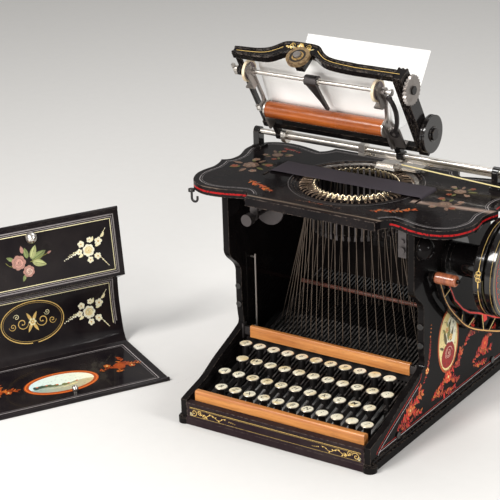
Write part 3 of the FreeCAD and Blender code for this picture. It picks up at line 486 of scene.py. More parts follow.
# %% Key faces and characters
KEY_PITCH = 19.3
KEY_ROWS = (
    ("key_row_1", -4.825, 101.0, 65.0, "234567890-,"),
    ("key_row_2", 4.825, 79.0, 56.2, "QWERTYUIOP:"),
    ("key_row_3", -4.825, 56.0, 47.4, "ASDFGHJKLM?"),
    ("key_row_4", 4.825, 34.0, 38.5, "&ZXCVBN;'./"),
)
WORKING_COLUMN = 5
FACE_R = 6.95
FACE_RISE = 0.35
FACE_GAP = 0.03
MARK_GAP = 0.08
LETTER = 8.8


def put(name, data, material=None, body=None):
    """Link an object to the scene with its material; with a body it rides there."""
    thing = bpy.data.objects.new(name, data)
    bpy.context.scene.collection.objects.link(thing)
    if material:
        data.materials.append(material)
    if body:
        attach(thing, body)
    return thing


def mesh_of(name, points, faces, smooth=True):
    mesh = bpy.data.meshes.new(name)
    mesh.from_pydata(points, [], faces)
    mesh.polygons.foreach_set("use_smooth", [smooth] * len(mesh.polygons))
    return mesh


def curve_mesh(curve):
    """The mesh that a curve makes; the curve is taken away again."""
    thing = put(curve.name, curve)
    mesh = bpy.data.meshes.new_from_object(thing.evaluated_get(bpy.context.evaluated_depsgraph_get()))
    bpy.data.objects.remove(thing)
    bpy.data.curves.remove(curve)
    return mesh


def around(u, v, turn, a, b=None):
    """The point at an angle on a circle or an ellipse round (u, v)."""
    return u + a * math.cos(turn), v + (a if b is None else b) * math.sin(turn)


class Gather:
    """Collects vertices (millimetres) and faces, then makes one piece of them."""

    def __init__(self):
        self.points = []
        self.faces = []

    def add(self, points, faces):
        start = len(self.points)
        self.points += [Vector(p) * MM for p in points]
        self.faces += [[start + i for i in face] for face in faces]

    def piece(self, name, material, body, slot, smooth=True):
        return put(name, mesh_of(name, self.points, self.faces, smooth), material, body)


def dome(x, y, z, r, rise, sides=20, rings=3):
    """Shallow cap: rings of points that rise to the middle."""
    points = [(x, y, z + rise)]
    faces = []
    for ring in range(1, rings + 1):
        share = ring / rings
        height = z + rise * (1 - share ** 2)
        points += [(*around(x, y, math.tau * i / sides, r * share), height) for i in range(sides)]
    for i in range(sides):
        j = (i + 1) % sides
        faces.append((0, 1 + i, 1 + j))
        for ring in range(rings - 1):
            a = 1 + ring * sides
            faces.append((a + i, a + sides + i, a + sides + j, a + j))
    return points, faces


def glyph(character, size):
    """Outline faces of one character, centred on the origin, in millimetres."""
    curve = bpy.data.curves.new("glyph", "FONT")
    curve.body = character
    curve.size = size
    curve.shear = 0.28
    curve.offset = 0.06
    curve.resolution_u = 3
    mesh = curve_mesh(curve)
    points = [v.co.copy() for v in mesh.vertices]
    faces = [tuple(polygon.vertices) for polygon in mesh.polygons]
    bpy.data.meshes.remove(mesh)
    middle_x = (min(p.x for p in points) + max(p.x for p in points)) / 2
    middle_y = (min(p.y for p in points) + max(p.y for p in points)) / 2
    return [(p.x - middle_x, p.y - middle_y) for p in points], faces


def cream_face():
    f = Finish("key_cream")
    cloud = f.noise(48.0, 4.0)
    spots = f.noise(420.0, 3.0)
    colour = f.mix(cloud.ramp(0.42, 0.68), (0.93, 0.88, 0.70), (0.80, 0.63, 0.33))
    f.set(Base_Color=f.mix(spots.ramp(0.6, 0.72) * 0.45, colour, (0.45, 0.28, 0.12)), Roughness=0.3)
    return f.set(Coat_Weight=0.4, Coat_Roughness=0.1).material


def ink():
    f = Finish("key_ink")
    fade = f.noise(500.0, 3.0)
    f.set(Base_Color=f.mix(fade.ramp(0.4, 0.7), (0.02, 0.017, 0.015), (0.10, 0.075, 0.055)))
    return f.set(Roughness=0.5).material


CREAM = cream_face()
INK = ink()
faces_by_body = {}
marks_by_body = {}
for body, stagger, y, z, characters in KEY_ROWS:
    for column, character in enumerate(characters):
        x = stagger + (column - WORKING_COLUMN) * KEY_PITCH
        owner = "working_key" if body == "key_row_1" and column == WORKING_COLUMN else body
        faces_by_body.setdefault(owner, Gather()).add(*dome(x, y, z + FACE_GAP, FACE_R, FACE_RISE))
        flat, cells = glyph(character, LETTER)
        marks = [(x + u, y + v, z + FACE_RISE + MARK_GAP) for u, v in flat]
        marks_by_body.setdefault(owner, Gather()).add(marks, cells)
for owner in faces_by_body:
    faces_by_body[owner].piece("key_faces_" + owner, CREAM, owner, "key_metal")
    marks_by_body[owner].piece("key_marks_" + owner, INK, owner, "key_metal", smooth=False)
print("key faces on", sorted(faces_by_body))

# %% [markdown]
# The basket shows twice as many wire loops as it has bars, because a narrow loop stands
# between each pair of hangers, and each wire comes back over the ring in a flat hairpin. The
# solid model has the hangers; the thin wires round them are bent here from round curves.

# %% Narrow loops between the hangers
HANGERS = 44
HAIRPINS = 62
LOOP_R = 0.5
HAIRPIN_R = 0.32
UNEVEN = 0.12


def nurbs(name, runs, steps):
    """Curve data with one smooth spline for each list of points in millimetres."""
    curve = bpy.data.curves.new(name, "CURVE")
    curve.dimensions = "3D"
    curve.resolution_u = steps
    for run in runs:
        spline = curve.splines.new("NURBS")
        spline.points.add(len(run) - 1)
        for point, place in zip(spline.points, run):
            point.co = (*(Vector(place) * MM), 1.0)
        spline.order_u = 3
        spline.use_endpoint_u = True
    return curve


def round_wires(name, runs, radius, material):
    curve = nurbs(name, runs, 5)
    curve.bevel_depth = radius * MM
    curve.bevel_resolution = 2
    put(name, curve, material, "machine")
    print(name, len(runs))


def doubled(rows):
    """A wire's first half, then its second half back along the other side."""
    return rows + [(r, -aside, z) for r, aside, z in rows[::-1]]


def ring_wire(rows, turn):
    """Rows of radius, side step and height, stood at an angle round the ring."""
    run = []
    for r, aside, z in rows:
        out = Vector((math.cos(turn), math.sin(turn), 0.0)) * r
        side = Vector((-math.sin(turn), math.cos(turn), 0.0)) * aside
        run.append(Vector((0.0, RING_Y, z)) + out + side)
    return run


LOOP = doubled([(60.0, -0.7, 246.3), (54.0, -0.7, 246.3), (49.4, -0.65, 253.2), (48.6, -0.65, 254.7)])
HAIRPIN = doubled([(51.0, -0.8, 255.0), (55.0, -0.8, 254.9), (60.5, -0.8, 255.2), (64.6, -0.8, 254.6),
                   (66.0, -0.5, 253.0)])
even_turns = [math.tau * i / HANGERS for i in range(HANGERS)]
loose_turns = [math.tau * (i + UNEVEN * (i % 3)) / HAIRPINS for i in range(HAIRPINS)]
round_wires("narrow_loops", [ring_wire(LOOP, turn) for turn in even_turns], LOOP_R, LOOPS)
round_wires("ring_hairpins", [ring_wire(HAIRPIN, turn) for turn in loose_turns], HAIRPIN_R, OLD_LOOPS)

# %% [markdown]
# The draw cord runs from the slide's eye over the small sheave and half round the drum. The
# run beside the rail shortens as the carriage goes to the right. The points repeat the solid
# model's route.

# %% Draw cord
CORD_ROUTE = (
    (32.2, 234.5, 267.3), (176.5, 234.5, 260.1), (189.3, 234.5, 259.4), (189.3, 234.5, 247.0),
    (189.3, 234.5, 200.0), (189.3, 234.5, 167.5), (189.3, 206.7, 139.7), (189.3, 167.3, 139.7),
    (189.3, 139.5, 167.5), (189.3, 139.5, 187.2),
)
CORD_D = 1.6


def grid_faces(rows, columns, closed=False):
    """Quads between rows of points, round the row if closed."""
    faces = []
    for i in range(rows - 1):
        for k in range(columns if closed else columns - 1):
            a = i * columns + k
            b = i * columns + (k + 1) % columns
            faces.append((a, b, b + columns, a + columns))
    return faces


def tube(name, line, radius, material, sides=8):
    """Round tube along a line in metres, with its ends closed."""
    points = []
    normal = Vector((0.0, 1.0, 0.0))
    for i, point in enumerate(line):
        way = (line[min(i + 1, len(line) - 1)] - line[max(i - 1, 0)]).normalized()
        normal = (normal - way * normal.dot(way)).normalized()
        across = way.cross(normal)
        turns = [math.tau * k / sides for k in range(sides)]
        points += [point + (normal * math.cos(t) + across * math.sin(t)) * radius for t in turns]
    faces = grid_faces(len(line), sides, closed=True)
    faces.append(tuple(range(sides))[::-1])
    faces.append(tuple(range(len(points) - sides, len(points))))
    return put(name, mesh_of(name, points, faces), material)


cord_line = [v.co.copy() for v in curve_mesh(nurbs("route", [CORD_ROUTE], 24)).vertices]
cord = tube("cord_run", cord_line, CORD_D / 2 * MM, CORD)
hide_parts("draw_cord")
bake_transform(cord)

# %% [markdown]
# The ribbon is a cloth band stretched across the ring from one slot to the other, with a
# slight wave along its edges where it has been wound many times.

# %% Ribbon
RIBBON_FRONT = 171.0
RIBBON_BACK = 208.0
RIBBON_PATH = (
    (-103.0, 224.5), (-108.0, 245.0), (-108.0, 255.6), (-106.2, 257.2), (-80.0, 257.2), (-40.0, 257.2),
    (0.0, 257.2), (40.0, 257.2), (70.0, 257.2), (90.2, 257.2), (92.0, 255.6), (91.9, 240.0), (91.6, 200.0),
)
RIBBON_STEP = 4.0
RIBBON_FLAT = 257.0
RIBBON_T = 0.25
WAVE = 0.16
ROWS_ACROSS = 16


def even_steps(path, step):
    """Points about one step apart along a path of straight runs."""
    out = [Vector(path[0])]
    for a, b in zip(path, path[1:]):
        a = Vector(a)
        b = Vector(b)
        count = max(1, round((b - a).length / step))
        out += [a.lerp(b, (i + 1) / count) for i in range(count)]
    return out


def ribbon_piece():
    line = even_steps(RIBBON_PATH, RIBBON_STEP)
    gather = Gather()
    points = []
    for i, (x, z) in enumerate(line):
        for j in range(ROWS_ACROSS + 1):
            share = j / ROWS_ACROSS
            y = RIBBON_FRONT + share * (RIBBON_BACK - RIBBON_FRONT)
            edge = abs(2 * share - 1) ** 3
            wave = WAVE * edge * math.sin(i * 0.55 + 2.0 * share) if z > RIBBON_FLAT else 0.0
            points.append((x, y, z + wave))
    gather.add(points, grid_faces(len(line), ROWS_ACROSS + 1))
    band = gather.piece("ribbon_band", RIBBON, "machine", "ribbon_cloth")
    solid = band.modifiers.new("thickness", "SOLIDIFY")
    solid.thickness = RIBBON_T * MM
    solid.offset = 0.0
    length = sum((b - a).length for a, b in zip(line, line[1:]))
    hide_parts("ribbon")
    return length


print("ribbon length", round(ribbon_piece(), 1))

# %% [markdown]
# The painting lies on the metal like brushwork. Each point of a stroke is laid on the solid
# by a ray, so the paint follows curved and sloping faces, and is lifted by about a tenth of
# a millimetre. All the strokes on one solid make one piece, with a colour for each stroke
# kept in the mesh, and one shader wears them thin in places.

# %% Paint shader and brushes
# Millimetres: the step between layers, the small step that keeps patches of one layer apart,
# how far off the surface a ray starts, and how far a hit may be from where it is expected.
LAYER = 0.04
PATCH_STEP = 0.0015
PATCH_STEPS = 20
NEAR = 20.0
HIT_SPAN = 6


def paint():
    f = Finish("paint")
    tint = f.add("ShaderNodeAttribute", {"attribute_name": "tint"}, {}, "Color")
    chips = f.noise(330.0, 4.0)
    cloud = f.noise(70.0, 3.0)
    amount = Wire(f, tint.socket.node.outputs["Alpha"])
    gone = ((chips.ramp(0.58, 0.68) * 0.75 + cloud.ramp(0.55, 0.75) * 0.2) * amount).clamp()
    f.set(Base_Color=f.mix(gone, tint, (0.02, 0.016, 0.013)), Roughness=0.32 + gone * 0.1)
    return f.set(Specular_IOR_Level=0.2, Coat_Weight=0.08, Coat_Roughness=0.1).material


PAINT = paint()
GOLD = (0.74, 0.50, 0.16)
PALE_GOLD = (0.93, 0.85, 0.52)
CREAM_PAINT = (0.96, 0.92, 0.72)
RUST_PAINT = (0.60, 0.10, 0.02)
ORANGE = (0.86, 0.22, 0.035)
RED = (0.70, 0.022, 0.012)
DARK_RED = (0.34, 0.010, 0.010)
OLIVE = (0.25, 0.24, 0.06)
GREEN = (0.19, 0.23, 0.09)
PALE_GREEN = (0.36, 0.38, 0.17)
PINK = (0.78, 0.42, 0.34)
PALE_PINK = (0.90, 0.62, 0.50)
GREY_LINE = (0.42, 0.38, 0.38)
SKY = (0.55, 0.75, 0.78)
YELLOW = (0.88, 0.72, 0.28)
BROWN = (0.15, 0.085, 0.055)
TAN = (0.26, 0.17, 0.12)


def shade(tint, share):
    return tuple(c * share for c in tint)


def smooth_path(points, steps=5):
    """Smooth curve through the points."""
    ends = [points[0]] + list(points) + [points[-1]]
    out = []
    for spans in zip(ends, ends[1:], ends[2:], ends[3:]):
        for k in range(steps):
            t = k / steps
            out.append(tuple(
                0.5 * (2 * b + (c - a) * t + (2 * a - 5 * b + 4 * c - d) * t * t
                       + (3 * b - a - 3 * c + d) * t ** 3)
                for a, b, c, d in zip(*spans)
            ))
    out.append(tuple(points[-1]))
    return out


class Painting:
    """Brushwork on one solid. ray(u, v) gives a point just off the surface and the way to it."""

    def __init__(self, name, node, ray, lift=0.12, seed=1, wear=1.0):
        self.name = name
        self.wear = wear
        self.node = node
        self.ray = ray
        self.lift = lift
        self.points = []
        self.faces = []
        self.tints = []
        self.dice = random.Random(seed)
        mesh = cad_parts[node].data
        faces = [tuple(f.vertices) for f in mesh.polygons]
        self.tree = BVHTree.FromPolygons([v.co for v in mesh.vertices], faces)

    def lay(self, u, v, lift):
        origin, way = self.ray(u, v)
        hit, _, _, distance = self.tree.ray_cast(origin, way, 2 * NEAR * MM)
        if hit is None or abs(distance - NEAR * MM) > HIT_SPAN * MM:
            return None
        return hit - way * lift * MM

    def shape(self, outline, tint, layer=0):
        """One flat patch. A patch that runs off the surface is left out."""
        lift = self.lift + LAYER * layer + PATCH_STEP * (len(self.faces) % PATCH_STEPS)
        laid = [self.lay(u, v, lift) for u, v in outline]
        if None in laid:
            return
        start = len(self.points)
        self.points += laid
        self.faces.append(tuple(range(start, start + len(laid))))
        self.tints.append((*tint, self.wear))

    def stroke(self, path, tint, wide, layer=0, taper=False):
        """A line of paint, or with taper a brush stroke that is thin at both ends."""
        count = len(path)
        sides = []
        for i, (u, v) in enumerate(path):
            before = path[max(i - 1, 0)]
            after = path[min(i + 1, count - 1)]
            du = after[0] - before[0]
            dv = after[1] - before[1]
            size = math.hypot(du, dv) or 1.0
            half = wide / 2
            if taper:
                half *= 0.18 + 0.82 * math.sin(math.pi * (0.08 + 0.84 * i / (count - 1)))
            dx = dv / size * half
            dy = du / size * half
            sides.append(((u - dx, v + dy), (u + dx, v - dy)))
        for a, b in zip(sides, sides[1:]):
            self.shape([a[0], a[1], b[1], b[0]], tint, layer)

    def line(self, points, tint, wide, layer=0, step=6.0):
        """A pinstripe of straight runs, cut short enough to follow the surface."""
        self.stroke([tuple(p) for p in even_steps(points, step)], tint, wide, layer)

    def ring(self, u, v, a, b, tint, wide, layer=0, start=0.0, turns=1.0, sides=48):
        path = [around(u, v, start + math.tau * turns * i / sides, a, b) for i in range(sides + 1)]
        self.stroke(path, tint, wide, layer)

    def disc(self, u, v, a, b, tint, layer=0, sides=24):
        """Filled ellipse, in wedges so that it follows the surface."""
        rim = [around(u, v, math.tau * i / sides, a, b) for i in range(sides)]
        for i in range(sides):
            self.shape([(u, v), rim[i], rim[(i + 1) % sides]], tint, layer)

    def petal(self, u, v, turn, length, wide, tint, layer=1):
        """A leaf or petal that starts at (u, v) and points along turn."""
        c = math.cos(turn)
        s = math.sin(turn)
        steps = 6
        left = []
        right = []
        for i in range(steps + 1):
            t = i / steps
            half = 0.5 * wide * math.sin(math.pi * t ** 0.8) ** 0.8
            left.append((u + c * t * length - s * half, v + s * t * length + c * half))
            right.append((u + c * t * length + s * half, v + s * t * length - c * half))
        self.shape(left + right[::-1][1:-1], tint, layer)

    def leaf(self, u, v, turn, length, wide, tint, layer=1):
        """A leaf with a paler half and a vein."""
        self.petal(u, v, turn, length, wide, tint, layer)
        self.petal(u, v, turn + 0.09, length * 0.88, wide * 0.42, shade(tint, 1.45), layer + 1)
        tip = around(u, v, turn, length * 0.85)
        middle = ((u + tip[0]) / 2, (v + tip[1]) / 2)
        self.stroke([(u, v), middle, tip], shade(tint, 0.55), wide * 0.09, layer + 2)

    def bloom(self, u, v, r, tint, pale, heart, petals=6, layer=2, turn=0.0):
        """Two rings of petals round a small heart."""
        for i in range(petals):
            way = turn + math.tau * i / petals
            self.petal(*around(u, v, way, 0.15 * r), way, r * 0.9, r * 0.8, tint, layer)
        for i in range(petals):
            way = turn + math.tau * (i + 0.5) / petals
            self.petal(u, v, way, r * 0.62, r * 0.45, pale, layer + 1)
        self.disc(u, v, r * 0.17, r * 0.17, heart, layer + 2, 8)

    def blossom(self, u, v, r, tint, pale, heart, petals=5, layer=2, turn=0.0):
        """A small open flower with round petals."""
        for i in range(petals):
            way = turn + math.tau * i / petals
            self.disc(*around(u, v, way, 0.6 * r), r * 0.44, r * 0.44, tint, layer, 10)
            self.disc(*around(u, v, way, 0.66 * r), r * 0.2, r * 0.2, pale, layer + 1, 8)
        self.disc(u, v, r * 0.26, r * 0.26, heart, layer + 2, 8)

    def rose(self, u, v, r, tint, pale, dark, layer=2, turn=0.0):
        """A full flower: broad round petals, then curled strokes that close round its middle."""
        for i in range(7):
            way = turn + math.tau * i / 7
            self.disc(*around(u, v, way, 0.58 * r), r * 0.42, r * 0.42, tint, layer, 12)
        self.disc(u, v, r * 0.62, r * 0.6, pale, layer + 1, 16)
        for i, size in enumerate((0.6, 0.44, 0.28)):
            self.ring(u, v, r * size, r * size * 0.9, dark, r * 0.07, layer + 2, turn + 1.9 * i, 0.62, 14)
        self.disc(u, v, r * 0.13, r * 0.13, dark, layer + 3, 8)

    def berries(self, path, r, tint, layer=1):
        """Dots that shrink along a path."""
        for i, (u, v) in enumerate(path):
            size = r * (1.0 - 0.6 * i / len(path))
            self.disc(u, v, size, size, tint, layer, 8)

    def scroll(self, u, v, r, turn, hand, tint, wide, layer=1, turns=1.3):
        """A spiral stroke that ends in a dot at its eye."""
        count = 26
        path = []
        for i in range(count + 1):
            t = i / count
            path.append(around(u, v, turn + hand * math.tau * turns * t, r * (1.0 - 0.82 * t)))
        self.stroke(path, tint, wide, layer, taper=True)
        self.disc(*path[-1], wide * 0.8, wide * 0.8, tint, layer, 8)

    def spray(self, points, tints, leaf_size, layer=1, density=1.0):
        """A stem with leaves on both sides, each leaf a little different."""
        path = smooth_path(points, 9)
        self.stroke(path, shade(tints[0], 0.7), leaf_size * 0.09, layer, taper=True)
        count = len(path)
        for i in range(1, count - 1):
            if self.dice.random() > density:
                continue
            du = path[i + 1][0] - path[i - 1][0]
            dv = path[i + 1][1] - path[i - 1][1]
            along = math.atan2(dv, du)
            side = 1 if i % 2 else -1
            size = leaf_size * self.dice.uniform(0.35, 0.85) * (0.55 + 0.45 * math.sin(math.pi * i / count))
            way = along + side * self.dice.uniform(0.4, 1.35)
            tint = tints[self.dice.randrange(len(tints))]
            self.petal(*path[i], way, size, size * self.dice.uniform(0.36, 0.5), tint, layer + 1)

    def finish(self, body, slot):
        mesh = mesh_of(self.name, self.points, self.faces, smooth=False)
        layer = mesh.color_attributes.new("tint", "FLOAT_COLOR", "CORNER")
        values = []
        for face, tint in zip(self.faces, self.tints):
            values += tint * len(face)
        layer.data.foreach_set("color", values)
        put(self.name, mesh, PAINT, body)
        print(self.name, "patches", len(self.faces))


print("brushes ready,", PAINT.name)

# %% [markdown]
# The right side panel has the richest painting: a tall oval with a red flower and leaves on
# cream, sprays of rust and orange leaves round it, and pinstripes along its sloping and lower
# edges.

# %% Side panel painting
PANEL_X = 125.0


def panel_ray(side):
    def ray(u, v):
        return Vector((side * (PANEL_X + NEAR), u, v)) * MM, Vector((-side, 0, 0))
    return ray


def panel_stripes(p):
    slope = [(13, 17), (20, 23), (42, 34), (62, 43.5), (85, 54), (104, 62.5), (112, 68), (115, 80),
             (112.5, 104), (112, 140), (108, 152), (98, 161), (90, 172)]
    p.stroke(smooth_path(slope, 4), RED, 0.7)
    p.stroke(smooth_path([(u + 3.2, v - 2.8) for u, v in slope[:6]], 4), GREY_LINE, 0.9)
    p.line([(17, 17.2), (328, 17.2)], GREY_LINE, 0.9)
    p.line([(20, 19.6), (328, 19.6)], shade(RED, 0.8), 0.6)


def medallion(p, u, v, a, b):
    """Cream oval in a rust border: a round red flower below, olive leaves and small flowers above."""
    p.disc(u, v, a + 3.0, b + 3.0, shade(RUST_PAINT, 0.8), 0, 48)
    p.disc(u, v, a, b, (0.93, 0.76, 0.34), 1, 48)
    p.ring(u, v, a + 1.5, b + 1.5, shade(ORANGE, 0.7), 0.7, 2)
    p.disc(u + a * 0.3, v + b * 0.25, a * 0.55, b * 0.55, CREAM_PAINT, 2, 24)
    dark_olive = (0.13, 0.10, 0.03)
    for i, (du, dv, way, reach) in enumerate((
        (-0.2, -0.1, 1.9, 0.9), (0.0, 0.0, 1.5, 1.1), (0.2, -0.05, 1.1, 0.8), (-0.3, 0.3, 2.3, 0.5),
        (0.1, 0.45, 1.2, 0.45), (-0.1, 0.5, 1.9, 0.4), (-0.5, -0.2, 2.6, 0.5),
    )):
        p.leaf(u + du * a, v + dv * b, way, reach * b * 0.6, reach * 7.0, OLIVE if i % 2 else dark_olive, 3)
    p.disc(u, v - b * 0.5, a * 0.72, b * 0.42, DARK_RED, 4, 28)
    p.rose(u + a * 0.05, v - b * 0.42, a * 0.62, shade(RED, 0.5), shade(RED, 0.4), PINK, 5)
    p.disc(u - a * 0.2, v - b * 0.72, a * 0.3, b * 0.16, shade(RED, 0.5), 6, 16)
    p.blossom(u + a * 0.25, v + b * 0.08, 4.5, YELLOW, ORANGE, RUST_PAINT, 5, 5, 0.4)
    p.blossom(u - a * 0.15, v + b * 0.4, 4.0, shade(YELLOW, 0.8), ORANGE, RED, 5, 5, 0.9)
    p.berries([(u + 2 + 1.5 * i, v + b * (0.5 + 0.07 * i)) for i in range(4)], 1.2, dark_olive, 5)


WARM = (RUST_PAINT, shade(ORANGE, 0.75), RED, DARK_RED)
DEEP = (shade(RED, 0.8), RUST_PAINT, DARK_RED, shade(RUST_PAINT, 0.5))
# Each bunch is its sprays (colours, leaf size, stem points) and one flower (place, size,
# colours, petals, turn).
BUNCHES = (
    (
        (WARM, 12.5, ((58, 25), (72, 31), (86, 35), (102, 44), (116, 48))),
        (DEEP, 9.5, ((74, 30), (84, 40), (92, 52))),
        (WARM, 8.5, ((92, 35), (100, 30), (114, 27))),
        (DEEP, 9.0, ((66, 24), (80, 24), (94, 25))),
        (WARM, 8.0, ((100, 42), (108, 52), (112, 58))),
        (88, 38, 6.5, RUST_PAINT, ORANGE, YELLOW, 5, 0.0),
    ),
    (
        (WARM, 12.0, ((138, 28), (152, 35), (168, 40), (186, 48), (206, 51))),
        (DEEP, 9.0, ((160, 36), (170, 44), (176, 49))),
        (DEEP, 10.0, ((176, 42), (192, 36), (204, 30))),
        (WARM, 11.0, ((146, 30), (162, 28), (180, 25), (196, 24))),
        (DEEP, 12.0, ((196, 50), (206, 58), (210, 66))),
        (178, 43, 7.5, RED, ORANGE, YELLOW, 6, 0.0),
    ),
    (
        (DEEP, 13.0, ((238, 36), (252, 44), (266, 50), (282, 58), (298, 60))),
        (WARM, 10.0, ((256, 44), (270, 38), (288, 38))),
        (WARM, 10.0, ((240, 32), (256, 28), (274, 26))),
        (270, 50, 8.0, RED, RUST_PAINT, ORANGE, 6, 0.3),
    ),
    (
        (DEEP, 10.0, ((216, 66), (226, 74), (236, 84), (240, 98))),
        (DEEP, 9.0, ((226, 74), (240, 76), (254, 72))),
        (DEEP, 5.5, ((118, 58), (126, 68), (130, 80), (133, 94), (134, 108))),
        (127, 71, 4.0, ORANGE, YELLOW, RED, 5, 0.0),
    ),
)


def panel_sprays(p):
    for *sprays, flower in BUNCHES:
        for tints, leaf_size, stem in sprays:
            p.spray(stem, tints, leaf_size)
        *look, petals, turn = flower
        p.blossom(*look, petals, 3, turn)
    p.berries([(134, 110), (135, 115), (135.5, 119.5), (136, 123.5)], 1.2, ORANGE)


for name, side, seed, oval in (("right", 1, 3, (177.0, 88.5)), ("left", -1, 4, (205.0, 110.0))):
    panel = Painting("painting_panel_" + name, "side_panel_" + name, panel_ray(side), seed=seed)
    panel_stripes(panel)
    medallion(panel, *oval, 22.0, 36.0)
    panel_sprays(panel)
    panel.finish("machine", "black_japan")

# %% [markdown]
# The front wall has a double gold line above and a single one below, with gold scrolls at
# both ends.

# %% Front wall painting


def front_ray(u, v):
    return Vector((u, -NEAR, v)) * MM, Vector((0, 1, 0))


def gold_scrolls(p, u, v, hand):
    """Arabesque that starts at a corner and thins out towards the middle."""
    p.scroll(u, v, 4.8, math.pi, hand, GOLD, 0.8)
    p.scroll(u + hand * 8, v + 1.4, 3.6, 0.0, -hand, GOLD, 0.7)
    p.scroll(u + hand * 14, v - 1.6, 2.8, math.pi, hand, GOLD, 0.6)
    p.scroll(u - hand * 4, v - 2.2, 2.4, 0.5, -hand, PALE_GOLD, 0.5)

    def vine(t):
        return u + hand * t, v + 2.2 * math.sin(t * 0.33)

    p.stroke(smooth_path([vine(t) for t in range(4, 48, 4)], 3), GOLD, 0.6, 1, True)
    for i in range(9):
        lean = 0.9 if i % 2 else -0.9
        p.petal(*vine(8 + 4.2 * i), lean if hand > 0 else math.pi - lean, 3.6 - 0.2 * i, 1.2, GOLD)
    p.berries([(u + hand * (48 + 2.6 * i), v - 0.4 * i) for i in range(4)], 0.7, GOLD)


front = Painting("painting_front", "base_frame", front_ray, seed=5)
front.line([(-113, 21.2), (113, 21.2)], GOLD, 0.45)
front.line([(-113, 19.9), (113, 19.9)], shade(GOLD, 0.6), 0.3)
front.line([(-113, 10.9), (113, 10.9)], shade(GOLD, 0.6), 0.4)
gold_scrolls(front, -107, 15.6, 1)
gold_scrolls(front, 107, 15.6, -1)
front.finish("machine", "black_japan")

# %% [markdown]
# On the top plate the painting is old and faded: brown flowers at the left and right of the
# ring, rust leaves along its front, and a double grey line that follows the plate's edge.
# The edge is read from the solid and moved inwards.

# %% Top plate painting
PLATE_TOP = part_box("top_plate")[1][2] / MM


def plate_ray(u, v):
    return Vector((u, v, PLATE_TOP + NEAR)) * MM, Vector((0, 0, -1))


def outer_loop(node, z):
    """The longest border of a node's flat faces at height z, in millimetres."""
    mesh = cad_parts[node].data
    seen = {}
    for face in mesh.polygons:
        spots = [mesh.vertices[i].co / MM for i in face.vertices]
        if min(p.z for p in spots) < z - 0.05:
            continue
        keys = [(round(p.x, 2), round(p.y, 2)) for p in spots]
        for a, b in zip(keys, keys[1:] + keys[:1]):
            if (b, a) in seen:
                del seen[(b, a)]
            else:
                seen[(a, b)] = True
    follow = dict(seen.keys())
    best = []
    while follow:
        start, here = next(iter(follow.items()))
        del follow[start]
        loop = [start]
        while here in follow:
            loop.append(here)
            here = follow.pop(here)
        if len(loop) > 2 and max(p[0] for p in loop) > max([p[0] for p in best] or [0]):
            best = loop
    return best


def inset(loop, depth, step=3.0):
    """The loop moved inwards; points that come too close to the edge are dropped."""
    path = even_steps(list(loop) + [loop[0]], step)[:-1]
    area = sum(a.x * b.y - b.x * a.y for a, b in zip(path, path[1:] + path[:1]))
    side = 1 if area > 0 else -1
    moved = []
    for i, p in enumerate(path):
        way = (path[(i + 1) % len(path)] - path[i - 1]).normalized()
        q = p + Vector((-way.y, way.x)) * side * depth
        if min((q - r).length for r in path) > depth - 0.4:
            moved.append(tuple(q))
    return moved + moved[:1]


def faded_flower(p, u, v, size, turn):
    """A worn bunch: a wide bloom, long leaves fanned round it and small flowers."""
    for i in range(7):
        way = turn + math.tau * i / 7 + p.dice.uniform(-0.3, 0.3)
        reach = size * p.dice.uniform(0.5, 0.8)
        tint = BROWN if i % 2 else shade(OLIVE, 0.4)
        p.leaf(*around(u, v, way, size * 0.6), way, reach, reach * 0.42, tint, 1)
    p.rose(u, v, size * 0.5, BROWN, TAN, shade(BROWN, 0.4), 3, turn)
    rust = shade(RUST_PAINT, 0.35)
    for i in range(4):
        way = turn + 1.6 * i + p.dice.uniform(-0.3, 0.3)
        reach = size * p.dice.uniform(0.9, 1.15)
        p.blossom(*around(u, v, way, reach), size * 0.24, TAN if i % 2 else rust, BROWN, rust, 5, 3)


plate = Painting("painting_plate", "top_plate", plate_ray, seed=6)
edge = outer_loop("top_plate", PLATE_TOP)
# The grey lines stop where the carriage wheel runs.
TRACK_BACK = 95.0
TRACK_END = 92.0
for depth, share, wide in ((7.5, 0.75, 0.8), (10.0, 0.45, 0.5)):
    run = inset(edge, depth)
    for a, b in zip(run, run[1:]):
        if min(a[1], b[1]) > TRACK_BACK or min(abs(a[0]), abs(b[0])) > TRACK_END:
            plate.stroke([a, b], shade(GREY_LINE, share), wide)
for flower in ((-140, 180, 20, 0.4), (-132, 226, 14, 1.7), (122, 170, 17, 2.4), (118, 215, 15, 0.9)):
    faded_flower(plate, *flower)
rusty = (shade(RUST_PAINT, 0.8), shade(ORANGE, 0.55), BROWN)
plate.spray([(-112, 134), (-98, 128), (-84, 120), (-70, 113)], rusty, 11.0)
plate.spray([(60, 112), (74, 120), (88, 128), (102, 140)], rusty, 11.0)
browns = (BROWN, shade(RUST_PAINT, 0.4))
plate.spray([(-30, 102), (-14, 104), (0, 103), (14, 104), (30, 102)], browns, 5.0, density=0.6)
plate.spray([(-140, 252), (-128, 250), (-112, 246)], (DARK_RED, BROWN), 7.0)
plate.ring(0, RING_Y, 78.5, 78.5, shade(GREY_LINE, 0.35), 0.6)
plate.finish("machine", "plate_japan")

# %% [markdown]
# The drum's rim carries a thin gold line with a small knot on it, its face a red ring and a
# row of orange dots. On the rim u is the place along the axis and v the angle in degrees.

# %% Drum and crank painting
drum_low, drum_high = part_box("spring_drum")
DRUM_MID = (drum_low + drum_high) / 2 / MM
DRUM_R = (drum_high[2] - drum_low[2]) / 2 / MM


def rim_ray(u, v):
    out = Vector((0, -math.cos(math.radians(v)), math.sin(math.radians(v))))
    return (Vector((u, DRUM_MID[1], DRUM_MID[2])) + out * (DRUM_R + NEAR)) * MM, -out


def drum_face_ray(u, v):
    return Vector((drum_high[0] / MM + NEAR, u, v)) * MM, Vector((-1, 0, 0))


